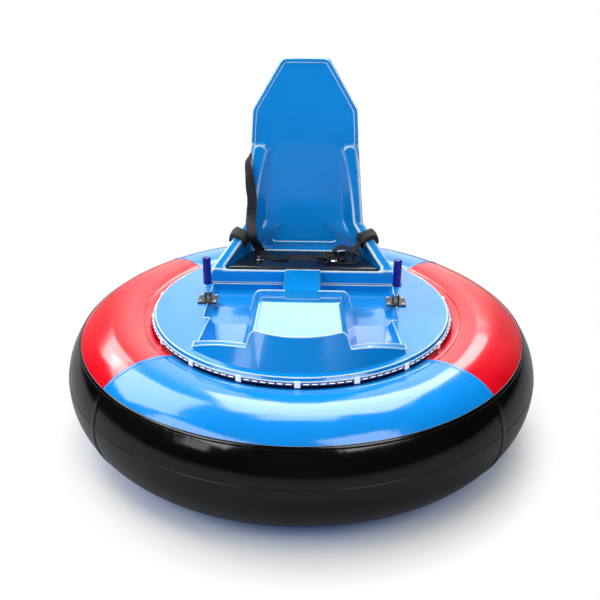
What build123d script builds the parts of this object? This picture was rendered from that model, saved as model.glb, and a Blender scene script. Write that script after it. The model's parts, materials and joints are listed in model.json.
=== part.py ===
from build123d import *
import os
from math import asin, atan2, cos, degrees, radians, sin, sqrt, tan

# One-seat bumper car with an inflated ring tube. Millimetres, +Z up, floor at z = 0.
# The rider faces -Y, X is across the car, and the ring's axis is the Z axis.

# Ring tube: an oval section of corner arcs joined by flatter crown and side arcs
tube_half_width = 230.0
tube_half_height = 220.0
tube_corner_r = 165.0
tube_flank_bulge = 15.0
tube_crown_bulge = 9.0
tube_clearance = 35.0
tube_seam_inset = 61.0
tube_under_seam_inset = 105.0
front_seam_deg = 50.0
rear_seam_deg = 133.0
valve_r = 22.0
valve_seat_depth = 7.0
valve_flange = 3.0
valve_cap_r = 14.0
valve_cap = 3.0
valve_turn_deg = 200.0

# Fit and clearance values
soft_gap = 0.3
pin_gap = 0.05
side_gap = 0.5

# Deck moulding
wall = 6.0
deck_top = 490.0
rim_chamfer = 9.0
rim_r = 601.0
rim_height = 24.0
rim_bead = 12.0
skirt_r = 452.0
leg_floor_drop = 26.0
leg_half_width = 388.0
leg_step_width = 24.0
leg_rear = 199.0
leg_floor = deck_top - leg_floor_drop
deck_edge_r = rim_r - rim_chamfer

# The ring sits round the deck's skirt
tube_gap = 38.0
tube_inner_r = skirt_r + tube_gap
tube_mid_r = tube_inner_r + tube_half_width
tube_outer_r = tube_mid_r + tube_half_width
tube_mid_z = tube_clearance + tube_half_height
tube_corner_x = tube_half_width - tube_corner_r - tube_flank_bulge
tube_corner_z = tube_half_height - tube_corner_r - tube_crown_bulge
tube_seam_r = tube_outer_r - tube_seam_inset
tube_under_seam_r = tube_outer_r - tube_under_seam_inset
valve_seat_r = tube_outer_r - valve_seat_depth

# Nose: a steep conical front, a lip that falls away to each side, and the hump between the feet
nose_inset = 32.0
nose_slope = 0.6
lip_thickness = 24.0
nose_r = deck_edge_r - nose_inset
# Lip outline, as (half width, height above the deck)
lip_outline = ((190.0, 59.0), (292.0, 45.0), (392.0, 9.0))
hump_base_half = 212.0
hump_draft = 0.299
hump_rear = -10.0
hump_peak_y = -309.0
hump_peak_rise = 158.0
hump_face_fall = 0.275
hump_side_round = 28.0
hump_peak_round = 40.0
pommel_half = 77.0
pommel_draft = 0.09
pommel_overlap = 10.0
pommel_round = 10.0

# Foot wells
well_rear = -136.0
well_ramp_deg = 20.0
well_front_half = 392.0
well_floor_r = 438.0
well_shelf_z = 400.0
# The leaning outer wall of a well, by two points of its brink and one of its foot,
# as (x, y, height above the deck)
well_wall_points = ((364.0, -166.0, 0.0), (391.0, -398.0, 9.0), (325.0, -243.0, -65.0))

# Seat moulding: outline corners at each height, as height, then (half width, y) of the front,
# middle and rear corners. The wings end below the flush panel of the upper back.
seat_ledge = 556.0
seat_arm_top = 690.0
wing_top = 1030.0
seat_top = 1395.0
ledge_front = 205.0
seat_body = (
    (deck_top, (446.0, leg_rear), (330.0, 452.0), (215.0, 530.0)),
    (seat_ledge, (402.0, ledge_front), (312.0, 450.0), (210.0, 522.0)),
    (seat_arm_top, (268.0, 430.0), (262.0, 474.0), (205.0, 520.0)),
    (wing_top, (237.0, 495.0), (237.0, 536.0), (200.0, 556.0)),
)
seat_back = (
    (wing_top, (237.0, 508.0), (237.0, 536.0), (200.0, 556.0)),
    (1176.0, (229.0, 521.0), (229.0, 548.0), (195.0, 570.0)),
    (seat_top, (100.0, 541.0), (100.0, 569.0), (84.0, 585.0)),
)
# The hollow between the arms and wings, in the same columns
seat_hollow = (
    (seat_ledge, (374.0, 150.0), (246.0, 436.0), (200.0, 474.0)),
    (seat_arm_top, (238.0, 380.0), (215.0, 450.0), (175.0, 484.0)),
    (960.0, (261.0, 424.6), (165.0, 493.0), (150.0, 504.0)),
    (wing_top, (220.0, 443.0), (157.0, 501.5), (150.0, 508.0)),
)
seat_outer_round = 14.0
seat_hollow_round = 12.0
seat_crease_round = 10.0
seat_top_round = 12.0
pan_depth = 24.0
pan_front_wall = 9.0
pan_front_half = 343.0
pan_rear_half = 243.0
pan_rear = 436.0
pan_corner_r = 14.0
seat_wall = 8.0
cushion_crown = 4.0
cushion_gap = 2.0
cushion_round = 7.0

# Light strip round the rim
strip_thickness = 4.0
strip_height = 11.0
strip_top_drop = 13.0
clip_count = 18
clip_width = 11.0
clip_height = 20.0
clip_thickness = 2.5

# Chassis frame
frame_bottom = 146.0
frame_height = 30.0
frame_bar = 30.0
hoop_width = 34.0
rail_x = 200.0
cross_y = 330.0
tie_hole_r = 6.5
tie_hole_y = 230.0
cradle_thickness = 4.0
cradle_inner_r = 420.0
cradle_end_deg = 60.0
frame_top = frame_bottom + frame_height

# Batteries
battery_width = 172.0
battery_length = 330.0
battery_height = 220.0
battery_y = 225.0
battery_gap = 4.0
battery_round = 8.0
tray_thickness = 4.0
tray_margin = 12.0
tray_hole_gap = 1.5

# Drive wheels and motors
wheel_r = 100.0
wheel_width = 46.0
wheel_x = 305.0
rim_outer_r = 70.0
rim_band = 8.0
rim_web = 12.0
tyre_round = 12.0
hub_r = 24.0
hub_length = 50.0
axle_r = 10.0
axle_end = 12.0
axle_gap = 3.0
axle_nut = 10.0
axle_nut_r = 16.0
motor_r = 38.0
motor_length = 150.0
bracket_thickness = 8.0
bracket_half = 48.0
lightening_hole_r = 11.0
lightening_holes = 6

# Casters
caster_y = 330.0
caster_r = 50.0
caster_width = 30.0
caster_trail = 36.0
caster_plate = 5.0
caster_plate_size = 96.0
kingpin_r = 9.0
kingpin_length = 22.0
fork_thickness = 5.0
fork_crown = 8.0
caster_axle_r = 6.0
caster_hub = 2.0
fork_boss_r = 13.0
fork_length = 46.0
caster_round = 8.0

# Hand levers
lever_x = 388.0
lever_y = 31.0
lever_plate = 80.0
lever_plate_thickness = 6.0
lever_pivot_rise = 24.0
lever_ear_gap = 9.0
lever_ear = 5.0
lever_ear_half = 11.0
lever_pin_r = 4.0
knuckle_r = 9.0
rod_r = 7.0
grip_r = 18.0
grip_bottom = 564.0
grip_top = 682.0
grip_round = 7.0
lever_corner = 5.0

# Seat belt
webbing = 44.0
webbing_thickness = 3.0
wrap_z = 657.0
wrap_drop = 30.0
wrap_gap = 3.0
wrap_width = 56.0
wrap_thickness = 16.0
# The lap part's route over the cushion
lap_route = ((-204.0, 409.0), (-140.0, 330.0), (62.0, 316.0))
lap_bend_r = 40.0
# The shoulder part above its foot: (x, y, height) of its centre and its turn towards the side
shoulder_foot = (-196.0, 400.0)
shoulder_run = (
    (-214.0, 372.0, 610.0, 0.0),
    (-223.0, 342.0, 640.0, 0.0),
    (-226.0, 336.0, 672.0, 0.0),
    (-236.0, 386.0, 704.0, 0.0),
    (-236.0, 424.0, 725.0, 0.0),
    (-232.0, 440.0, 791.0, 0.0),
    (-238.0, 451.0, 840.0, 0.0),
    (-244.0, 458.0, 900.0, 30.0),
    (-253.0, 484.0, 950.0, 60.0),
    (-244.2, 508.0, 980.0, 90.0),
)
tongue_x = -92.0
tongue_length = 60.0
tongue_width = 48.0
tongue_thickness = 4.0
buckle_x = 124.0
buckle_y = 300.0
buckle_length = 120.0
buckle_width = 60.0
buckle_height = 26.0
buckle_round = 8.0
buckle_edge = 5.0
tail_rise = 52.0
tail_reach = 54.0


def finish(built, name):
    built.part.label = name
    export_step(built.part, f"parts/{name}.step")


def six_corners(row, grow=0.0):
    """A six-cornered outline, symmetric about the YZ plane, from one row of a seat table."""
    (xf, yf), (xm, ym), (xr, yr) = row[1:4]
    half = [(xf + grow, yf - grow), (xm + grow, ym), (xr + grow, yr + grow)]
    return half + [(-x, y) for x, y in reversed(half)]


def straight_loft(rows, corner_r, grow=0.0, mode=Mode.ADD):
    """A loft with straight rulings through the outlines of one seat table."""
    outlines = []
    for row in rows:
        with BuildSketch(Plane.XY.offset(row[0])) as outline:
            with BuildLine():
                Polyline(six_corners(row, grow), close=True)
            make_face()
            fillet(outline.vertices(), corner_r)
        outlines.append(outline.sketch)
    loft(outlines, ruled=True, mode=mode)


def upright_plane(turn_deg):
    """The half plane through the Z axis whose x runs outwards, turned from the front towards +X."""
    outwards = Vector(sin(radians(turn_deg)), -cos(radians(turn_deg)), 0)
    return Plane(origin=(0, 0, 0), x_dir=outwards, z_dir=outwards.cross(Vector(0, 0, 1)))


os.makedirs("parts", exist_ok=True)

# The tube's section, cut into a top cover, an outer casing and an underside by three seams.
crown_h = tube_half_height - tube_corner_z
crown_r = (crown_h**2 + tube_corner_x**2 - tube_corner_r**2) / (2 * (crown_h - tube_corner_r))
flank_w = tube_half_width - tube_corner_x
flank_r = (flank_w**2 + tube_corner_z**2 - tube_corner_r**2) / (2 * (flank_w - tube_corner_r))
crown_deg = degrees(atan2(tube_corner_z - tube_half_height + crown_r, tube_corner_x))
flank_deg = degrees(atan2(tube_corner_z, tube_corner_x - tube_half_width + flank_r))


def section_point(angle_deg, side, level):
    """A point of one corner arc: side is +1 outer or -1 inner, level +1 upper or -1 lower."""
    r = tube_mid_r + side * (tube_corner_x + tube_corner_r * cos(radians(angle_deg)))
    z = tube_mid_z + level * (tube_corner_z + tube_corner_r * sin(radians(angle_deg)))
    return r, z


def seam_angle(seam_r):
    return degrees(atan2(sqrt(tube_corner_r**2 - (seam_r - tube_mid_r - tube_corner_x)**2),
                         seam_r - tube_mid_r - tube_corner_x))


top_seam = seam_angle(tube_seam_r)
under_seam = seam_angle(tube_under_seam_r)
tube_centre = (tube_mid_r, tube_mid_z)


def corner_arc(start_deg, end_deg, side, level):
    middle = (start_deg + end_deg) / 2
    ThreePointArc(section_point(start_deg, side, level), section_point(middle, side, level),
                  section_point(end_deg, side, level))


def crown_arc(side_from, level):
    ThreePointArc(section_point(crown_deg, side_from, level),
                  (tube_mid_r, tube_mid_z + level * tube_half_height),
                  section_point(crown_deg, -side_from, level))


flank_reach = tube_half_width - flank_r
half_turn = atan2(tube_corner_z + tube_corner_r * sin(radians(flank_deg)),
                  tube_corner_x - flank_reach + tube_corner_r * cos(radians(flank_deg))) / 2


def flank_arc(level_from, side, whole=True):
    """A side arc, through the section's widest point, or only as far as it."""
    start = section_point(flank_deg, side, level_from)
    far = (tube_mid_r + side * tube_half_width, tube_mid_z)
    if whole:
        ThreePointArc(start, far, section_point(flank_deg, side, -level_from))
    else:
        ThreePointArc(start, (tube_mid_r + side * (flank_reach + flank_r * cos(half_turn)),
                              tube_mid_z + level_from * flank_r * sin(half_turn)), far)


valve_out = upright_plane(valve_turn_deg).x_dir
valve_plane = Plane(origin=valve_out * valve_seat_r + Vector(0, 0, tube_mid_z), z_dir=valve_out)

# Start and end angles of each panel, counted from the front (-Y) towards +X
panel_spans = {
    "front": (-front_seam_deg, front_seam_deg),
    "right": (front_seam_deg, rear_seam_deg),
    "rear": (rear_seam_deg, 360.0 - rear_seam_deg),
    "left": (-rear_seam_deg, -front_seam_deg),
}

for place, (start, end) in panel_spans.items():
    seam_plane = upright_plane(start)
    with BuildPart() as tube_panel:
        with BuildSketch(seam_plane):
            with BuildLine():
                Line(tube_centre, section_point(top_seam, 1, 1))
                corner_arc(top_seam, crown_deg, 1, 1)
                crown_arc(1, 1)
                corner_arc(crown_deg, flank_deg, -1, 1)
                flank_arc(1, -1, whole=False)
                Line((tube_inner_r, tube_mid_z), tube_centre)
            make_face()
        revolve(axis=Axis.Z, revolution_arc=end - start)
    finish(tube_panel, f"tube_panel_{place}")

    with BuildPart() as tube_casing:
        with BuildSketch(seam_plane):
            with BuildLine():
                Line(tube_centre, section_point(top_seam, 1, 1))
                corner_arc(top_seam, flank_deg, 1, 1)
                flank_arc(1, 1)
                corner_arc(flank_deg, under_seam, 1, -1)
                Line(section_point(under_seam, 1, -1), tube_centre)
            make_face()
        revolve(axis=Axis.Z, revolution_arc=end - start)
        if start < valve_turn_deg < end:
            with BuildSketch(valve_plane):
                Circle(valve_r + soft_gap)
            extrude(amount=tube_outer_r - valve_seat_r, mode=Mode.SUBTRACT)
    finish(tube_casing, f"tube_casing_{place}")

with BuildPart() as tube_underside:
    with BuildSketch(Plane.XZ):
        with BuildLine():
            Line(tube_centre, section_point(under_seam, 1, -1))
            corner_arc(under_seam, crown_deg, 1, -1)
            crown_arc(1, -1)
            corner_arc(crown_deg, flank_deg, -1, -1)
            flank_arc(-1, -1, whole=False)
            Line((tube_inner_r, tube_mid_z), tube_centre)
        make_face()
    revolve(axis=Axis.Z)
finish(tube_underside, "tube_underside")

with BuildPart() as tube_valve:
    with BuildSketch(valve_plane):
        Circle(valve_r)
    extrude(amount=valve_flange)
    with BuildSketch(valve_plane.offset(valve_flange)):
        Circle(valve_cap_r)
    extrude(amount=valve_cap)
finish(tube_valve, "tube_valve")

# Deck moulding: a thin skin that carries the rim, the leg floor, the nose, the hump and the wells.
# Each hollow is made once at its own size and once as a jacket that is one wall larger.
hump_peak = deck_top + hump_peak_rise
hump_side_slant = Vector(1, 0, hump_draft)
lid = hump_peak + leg_floor_drop


def hump_side(grow):
    """The plane of the hump's right side, moved outwards by a wall."""
    return Plane(origin=(hump_base_half + grow, 0, leg_floor), z_dir=hump_side_slant)


def pommel_side(grow):
    return Plane(origin=(pommel_half + grow, 0, seat_ledge), z_dir=Vector(1, 0, pommel_draft))


def seat_front_plane():
    rise = Vector(0, ledge_front - leg_rear, seat_ledge - deck_top)
    return Plane(origin=(0, leg_rear, deck_top), z_dir=rise.cross(Vector(1, 0, 0)))


def nose_cone(inset, low):
    """The cone that bounds the nose, as a solid of revolution from a low level to the lid."""
    with BuildSketch(Plane.XZ) as cone:
        with BuildLine():
            Polyline((0, low), (nose_r - inset, low), (nose_r - inset, deck_top),
                     (nose_r - inset - nose_slope * (lid - deck_top), lid), (0, lid), close=True)
        make_face()
    revolve(cone.sketch, axis=Axis.Z, mode=Mode.INTERSECT)


def hump_solid(grow, low):
    """The hump between the feet: rear slope up to a peak, a long face down to the nose."""
    face_end = hump_peak - hump_face_fall * (nose_r + hump_peak_y)
    with BuildSketch(Plane.YZ) as side_view:
        with BuildLine():
            Polyline((hump_rear + grow, low), (hump_rear + grow, seat_ledge + grow),
                     (hump_peak_y, hump_peak + grow), (-nose_r, face_end + grow), (-nose_r, low),
                     close=True)
        make_face()
    extrude(side_view.sketch, amount=hump_base_half, both=True)
    right_side = hump_side(grow)
    split(bisect_by=right_side, keep=Keep.BOTTOM)
    split(bisect_by=Plane(origin=(-right_side.origin.X, 0, leg_floor),
                          z_dir=Vector(-1, 0, hump_draft)), keep=Keep.BOTTOM)
    nose_cone(-grow, low)


humps = {}
for use, grow, low in (("outside", 0.0, deck_top - wall), ("inside", -wall, deck_top - 2 * wall)):
    with BuildPart() as hump:
        hump_solid(grow, low)
        fillet(hump.edges().sort_by(Axis.Z)[-1], hump_peak_round + grow)
        upper_edges = hump.edges().filter_by(lambda edge: edge.center().Z > seat_ledge)
        fillet(upper_edges.filter_by(lambda edge: abs(edge.center().X) > pommel_half),
               hump_side_round + grow)
    humps[use] = hump.part

brink_rear, brink_front, wall_foot = [Vector(x, y, deck_top + rise) for x, y, rise in well_wall_points]
outwards = (brink_front - brink_rear).cross(wall_foot - brink_rear).normalized()
wells = {}
for use, grow, top in (("hollow", 0.0, lid), ("jacket", wall, deck_top)):
    with BuildPart() as well:
        ramp_end = leg_floor - (nose_r + well_rear) * tan(radians(well_ramp_deg))
        with BuildSketch(Plane.YZ):
            with BuildLine():
                Polyline((well_rear + grow, top), (well_rear + grow, leg_floor - grow),
                         (-nose_r, ramp_end - grow), (-nose_r, top), close=True)
            make_face()
        extrude(amount=well_front_half + wall)
        split(bisect_by=hump_side(-grow), keep=Keep.TOP)
        outer = Plane(origin=brink_rear + outwards * grow, z_dir=outwards)
        split(bisect_by=outer, keep=Keep.BOTTOM)
        with BuildSketch(Plane.XZ):
            with BuildLine():
                toe = nose_r - lip_thickness + grow
                Polyline((0, ramp_end), (well_floor_r + grow, ramp_end),
                         (well_floor_r + grow, well_shelf_z), (toe, deck_top),
                         (toe - nose_slope * (lid - deck_top), lid), (0, lid), close=True)
            make_face()
        revolve(axis=Axis.Z, mode=Mode.INTERSECT)
        mirror(about=Plane.YZ)
    wells[use] = well.part

with BuildPart() as lip:
    (low_half, low_rise), (mid_half, mid_rise), (end_half, end_rise) = lip_outline
    with BuildSketch(Plane.XZ) as lip_view:
        with BuildLine():
            for side in (-1, 1):
                ThreePointArc((side * low_half, deck_top + low_rise),
                              (side * mid_half, deck_top + mid_rise),
                              (side * end_half, deck_top + end_rise))
                Line((side * end_half, deck_top + end_rise), (side * end_half, deck_top - wall))
            Line((-low_half, deck_top + low_rise), (low_half, deck_top + low_rise))
            Line((-end_half, deck_top - wall), (end_half, deck_top - wall))
        make_face()
    extrude(lip_view.sketch, amount=nose_r)
    nose_cone(0.0, deck_top - wall)
    inner_r = nose_r - lip_thickness
    with BuildSketch(Plane.XZ) as lip_back:
        with BuildLine():
            Polyline((0, deck_top - wall), (inner_r, deck_top - wall), (inner_r, deck_top),
                     (inner_r - nose_slope * (lid - deck_top), lid), (0, lid), close=True)
        make_face()
    revolve(lip_back.sketch, axis=Axis.Z, mode=Mode.SUBTRACT)

pommels = {}
for use, grow, low in (("outside", 0.0, deck_top - wall), ("inside", -wall, deck_top - 2 * wall)):
    with BuildPart() as pommel:
        with BuildSketch(Plane.XY.offset(low)):
            with Locations((0, hump_rear - pommel_overlap)):
                Rectangle(4 * pommel_half, leg_rear - 2 * hump_rear + pommel_overlap,
                          align=(Align.CENTER, Align.MIN))
        extrude(amount=seat_ledge + grow - low)
        for side in (-1, 1):
            edge = pommel_side(grow)
            split(bisect_by=Plane(origin=(side * edge.origin.X, 0, seat_ledge),
                                  z_dir=(side, 0, pommel_draft)), keep=Keep.BOTTOM)
        front_face = seat_front_plane()
        split(bisect_by=front_face.offset(grow), keep=Keep.BOTTOM)
        fillet(pommel.faces().sort_by(Axis.Z)[-1].edges().filter_by(Axis.Y), pommel_round + grow)
    pommels[use] = pommel.part

hump_feet = {}
for use, grow in (("hollow", 0.0), ("jacket", -wall)):
    with BuildPart() as foot:
        hump_solid(grow, leg_floor - 2 * wall)
    hump_feet[use] = foot.part

leg_spaces = {}
for use, grow in (("hollow", 0.0), ("jacket", wall)):
    with BuildPart() as leg_space:
        with BuildSketch(Plane.XZ.offset(-leg_rear - grow)):
            with BuildLine():
                Polyline((0, lid), (leg_half_width + grow, lid), (leg_half_width + grow, deck_top),
                         (leg_half_width - leg_step_width + grow, leg_floor - grow),
                         (0, leg_floor - grow), close=True)
            make_face()
        extrude(amount=leg_rear + grow - well_rear)
        split(bisect_by=pommel_side(-grow), keep=Keep.TOP)
        add(hump_feet[use], mode=Mode.SUBTRACT)
        mirror(about=Plane.YZ)
    leg_spaces[use] = leg_space.part

with BuildPart() as deck_inside:
    with BuildSketch(Plane.XY.offset(frame_top)):
        Circle(skirt_r - wall)
    extrude(amount=deck_top - wall - frame_top)
    add(humps["inside"])
    add(pommels["inside"])
    add(wells["jacket"], mode=Mode.SUBTRACT)
    add(leg_spaces["jacket"], mode=Mode.SUBTRACT)

with BuildPart() as deck:
    with BuildSketch(Plane.XZ):
        with BuildLine():
            Polyline((0, frame_top), (skirt_r, frame_top), (skirt_r, deck_top - wall),
                     (rim_r - wall, deck_top - wall), (rim_r - wall, deck_top - rim_height),
                     (rim_r, deck_top - rim_height), (rim_r, deck_top - rim_bead),
                     (deck_edge_r, deck_top), (0, deck_top), close=True)
        make_face()
    revolve(axis=Axis.Z)
    add(humps["outside"])
    add(lip.part)
    add(pommels["outside"])
    add(wells["jacket"])
    add(leg_spaces["hollow"], mode=Mode.SUBTRACT)
    add(wells["hollow"], mode=Mode.SUBTRACT)
    add(deck_inside.part, mode=Mode.SUBTRACT)
finish(deck, "deck")


def between(rows, z):
    """An outline of a seat table at a height between two of its rows."""
    below = [row for row in rows[:-1] if row[0] <= z][-1]
    above = [row for row in rows if row[0] > below[0]][0]
    share = (z - below[0]) / (above[0] - below[0])
    corners = [tuple(a + share * (b - a) for a, b in zip(low, high))
               for low, high in zip(below[1:], above[1:])]
    return (z, *corners)


def inner_ridge(z):
    """The inner edge of an arm or wing, where the hollow's side meets the seat's front."""
    front, middle = between(seat_hollow, z)[1:3]
    y = between(seat_body, z)[1][1]
    x = front[0] + (middle[0] - front[0]) * (y - front[1]) / (middle[1] - front[1])
    return Vector(x, y, z)


pan_floor = seat_ledge - pan_depth
with BuildPart() as seat_shell:
    straight_loft(seat_body, seat_outer_round)
    straight_loft(seat_hollow, seat_hollow_round, mode=Mode.SUBTRACT)
    straight_loft(seat_back, seat_outer_round)
    fillet(seat_shell.faces().sort_by(Axis.Z)[-1].edges(), seat_top_round)
    # The crease where each arm's top meets the wing
    outer_bend = Vector(*seat_body[2][1], seat_arm_top)
    crease = (inner_ridge(seat_arm_top) + outer_bend) / 2
    fillet([edge for side in (-1, 1) for edge in
            seat_shell.edges().sort_by_distance(Vector(side * crease.X, crease.Y, crease.Z))[:1]],
           seat_crease_round)
    with BuildSketch(Plane.XY.offset(pan_floor)) as pan:
        with BuildLine():
            pan_front = ledge_front + pan_front_wall
            Polyline((pan_front_half, pan_front), (pan_rear_half, pan_rear),
                     (-pan_rear_half, pan_rear), (-pan_front_half, pan_front), close=True)
        make_face()
        fillet(pan.vertices(), pan_corner_r)
    extrude(amount=pan_depth, mode=Mode.SUBTRACT)
    under_top = pan_floor - seat_wall
    straight_loft((seat_body[0], between(seat_body, under_top)), seat_outer_round - seat_wall,
                  -seat_wall, mode=Mode.SUBTRACT)
finish(seat_shell, "seat_shell")

with BuildPart() as seat_cushion:
    with BuildSketch(Plane.XY.offset(pan_floor + soft_gap)):
        offset(pan.sketch, amount=-cushion_gap, mode=Mode.ADD)
    extrude(amount=pan_depth + cushion_crown - soft_gap)
    fillet(seat_cushion.faces().sort_by(Axis.Z)[-1].edges(), cushion_round)
finish(seat_cushion, "seat_cushion")

# Light strip and its clips round the rim
strip_z = deck_top - strip_top_drop
with BuildPart() as led_strip:
    with BuildSketch(Plane.XZ):
        with Locations((rim_r, strip_z)):
            Rectangle(strip_thickness, strip_height, align=(Align.MIN, Align.MAX))
    revolve(axis=Axis.Z)
finish(led_strip, "led_strip")

strip_r = rim_r + strip_thickness
clip_arc = degrees(clip_width / strip_r)
with BuildPart() as led_clips:
    for turn in range(clip_count):
        clip_plane = upright_plane(360.0 / clip_count * turn - clip_arc / 2)
        with BuildSketch(clip_plane):
            with Locations((strip_r, strip_z - strip_height / 2)):
                Rectangle(clip_thickness, clip_height, align=(Align.MIN, Align.CENTER))
        revolve(axis=Axis.Z, revolution_arc=clip_arc)
finish(led_clips, "led_clips")

# Chassis frame: a hoop with two rails, cross bars and the motor brackets welded to the rails
with BuildPart() as chassis_frame:
    with BuildSketch(Plane.XY.offset(frame_bottom)):
        Circle(skirt_r)
        Circle(skirt_r - hoop_width, mode=Mode.SUBTRACT)
        bar_reach = skirt_r - hoop_width / 2
        with Locations((rail_x, 0), (-rail_x, 0)):
            Rectangle(frame_bar, 2 * sqrt(bar_reach**2 - rail_x**2))
        with Locations((0, cross_y), (0, -cross_y)):
            Rectangle(2 * sqrt(bar_reach**2 - cross_y**2), frame_bar)
    extrude(amount=frame_height)
    bracket_face = rail_x + frame_bar / 2
    for side in (-1, 1):
        with BuildSketch(Plane.YZ.offset(side * (bracket_face + bracket_thickness / 2))):
            with BuildLine():
                Polyline((-bracket_half, frame_top), (bracket_half, frame_top),
                         (bracket_half, wheel_r), (bracket_half / 2, wheel_r - bracket_half),
                         (-bracket_half / 2, wheel_r - bracket_half), (-bracket_half, wheel_r),
                         close=True)
            make_face()
            with Locations((0, wheel_r)):
                Circle(axle_r + axle_gap, mode=Mode.SUBTRACT)
        extrude(amount=bracket_thickness / 2, both=True)
    with Locations([(x, y, frame_bottom) for x in (-rail_x, rail_x) for y in (-tie_hole_y, tie_hole_y)]):
        Hole(tie_hole_r, depth=frame_height)
    with Locations((0, caster_y, frame_bottom), (0, -caster_y, frame_bottom)):
        Cylinder(kingpin_r + pin_gap, kingpin_length, mode=Mode.SUBTRACT,
                 align=(Align.CENTER, Align.CENTER, Align.MIN))
finish(chassis_frame, "chassis_frame")


# Cradle: the dished flange under the hoop that carries the inflated ring
def skin_point(turn_deg, gap):
    """A point below the ring's inner skin, by its angle under the horizontal and its gap."""
    if turn_deg < flank_deg:
        centre = (tube_inner_r + flank_r, tube_mid_z)
        reach = flank_r + gap
    else:
        centre = (tube_mid_r - tube_corner_x, tube_mid_z - tube_corner_z)
        reach = tube_corner_r + gap
    return centre[0] - reach * cos(radians(turn_deg)), centre[1] - reach * sin(radians(turn_deg))


def skin_arc(start_deg, end_deg, gap):
    ThreePointArc(skin_point(start_deg, gap), skin_point((start_deg + end_deg) / 2, gap),
                  skin_point(end_deg, gap))


cradle_gap = soft_gap + cradle_thickness
with BuildPart() as tube_cradle:
    start_upper = degrees(asin((tube_mid_z - frame_bottom) / (flank_r + soft_gap)))
    start_lower = degrees(asin((tube_mid_z - frame_bottom + cradle_thickness) / (flank_r + cradle_gap)))
    with BuildSketch(Plane.XZ):
        with BuildLine():
            Line((cradle_inner_r, frame_bottom), skin_point(start_upper, soft_gap))
            skin_arc(start_upper, flank_deg, soft_gap)
            skin_arc(flank_deg, cradle_end_deg, soft_gap)
            Line(skin_point(cradle_end_deg, soft_gap), skin_point(cradle_end_deg, cradle_gap))
            skin_arc(cradle_end_deg, flank_deg, cradle_gap)
            skin_arc(flank_deg, start_lower, cradle_gap)
            Line(skin_point(start_lower, cradle_gap),
                 (cradle_inner_r, frame_bottom - cradle_thickness))
            Line((cradle_inner_r, frame_bottom - cradle_thickness), (cradle_inner_r, frame_bottom))
        make_face()
    revolve(axis=Axis.Z)
finish(tube_cradle, "tube_cradle")

# Battery tray and the two batteries, as plain blocks
battery_x = (battery_width + battery_gap) / 2
with BuildPart() as battery_tray:
    with BuildSketch(Plane.XY.offset(frame_top)):
        with Locations((0, battery_y)):
            Rectangle(2 * (rail_x - tie_hole_r - tray_hole_gap), battery_length + tray_margin)
    extrude(amount=tray_thickness)
finish(battery_tray, "battery_tray")

for place, side in (("left", -1), ("right", 1)):
    with BuildPart() as battery:
        with BuildSketch(Plane.XY.offset(frame_top + tray_thickness)):
            with Locations((side * battery_x, battery_y)):
                RectangleRounded(battery_width, battery_length, battery_round)
        extrude(amount=battery_height)
    finish(battery, f"battery_{place}")

    # Gear motor and its axle, which the wheel turns on
    with BuildPart() as motor:
        with BuildSketch(Plane.YZ.offset(side * bracket_face)):
            with Locations((0, wheel_r)):
                Circle(motor_r)
        extrude(amount=-side * motor_length)
        with BuildSketch(Plane.YZ.offset(side * bracket_face)):
            with Locations((0, wheel_r)):
                Circle(axle_r)
        extrude(amount=side * (wheel_x + hub_length / 2 + axle_end - bracket_face))
        with BuildSketch(Plane.YZ.offset(side * (wheel_x + hub_length / 2 + side_gap))):
            with Locations((0, wheel_r)):
                RegularPolygon(axle_nut_r, 6)
        extrude(amount=side * axle_nut)
    finish(motor, f"motor_{place}")

    with BuildPart() as drive_rim:
        wheel_plane = Plane(origin=(side * wheel_x, 0, wheel_r), x_dir=(0, 1, 0), z_dir=(1, 0, 0))
        with BuildSketch(wheel_plane):
            Circle(rim_outer_r)
        extrude(amount=wheel_width / 2, both=True)
        with BuildSketch(wheel_plane):
            Circle(rim_outer_r - rim_band)
            Circle(hub_r, mode=Mode.SUBTRACT)
        extrude(amount=wheel_width / 2, both=True, mode=Mode.SUBTRACT)
        with BuildSketch(wheel_plane):
            Circle(rim_outer_r - rim_band / 2)
            with PolarLocations((rim_outer_r - rim_band + hub_r) / 2, lightening_holes):
                Circle(lightening_hole_r, mode=Mode.SUBTRACT)
        extrude(amount=rim_web / 2, both=True)
        with BuildSketch(wheel_plane):
            Circle(hub_r)
        extrude(amount=hub_length / 2, both=True)
        with BuildSketch(wheel_plane):
            Circle(axle_r + pin_gap)
        extrude(amount=hub_length, both=True, mode=Mode.SUBTRACT)
    finish(drive_rim, f"drive_rim_{place}")

    with BuildPart() as drive_tyre:
        with BuildSketch(Plane.XZ) as tread:
            with Locations((side * wheel_x, wheel_r + rim_outer_r)):
                Rectangle(wheel_width, wheel_r - rim_outer_r, align=(Align.CENTER, Align.MIN))
            fillet(tread.vertices().group_by(Axis.Y)[-1], tyre_round)
        revolve(axis=Axis((0, 0, wheel_r), (1, 0, 0)))
    finish(drive_tyre, f"drive_tyre_{place}")

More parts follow.
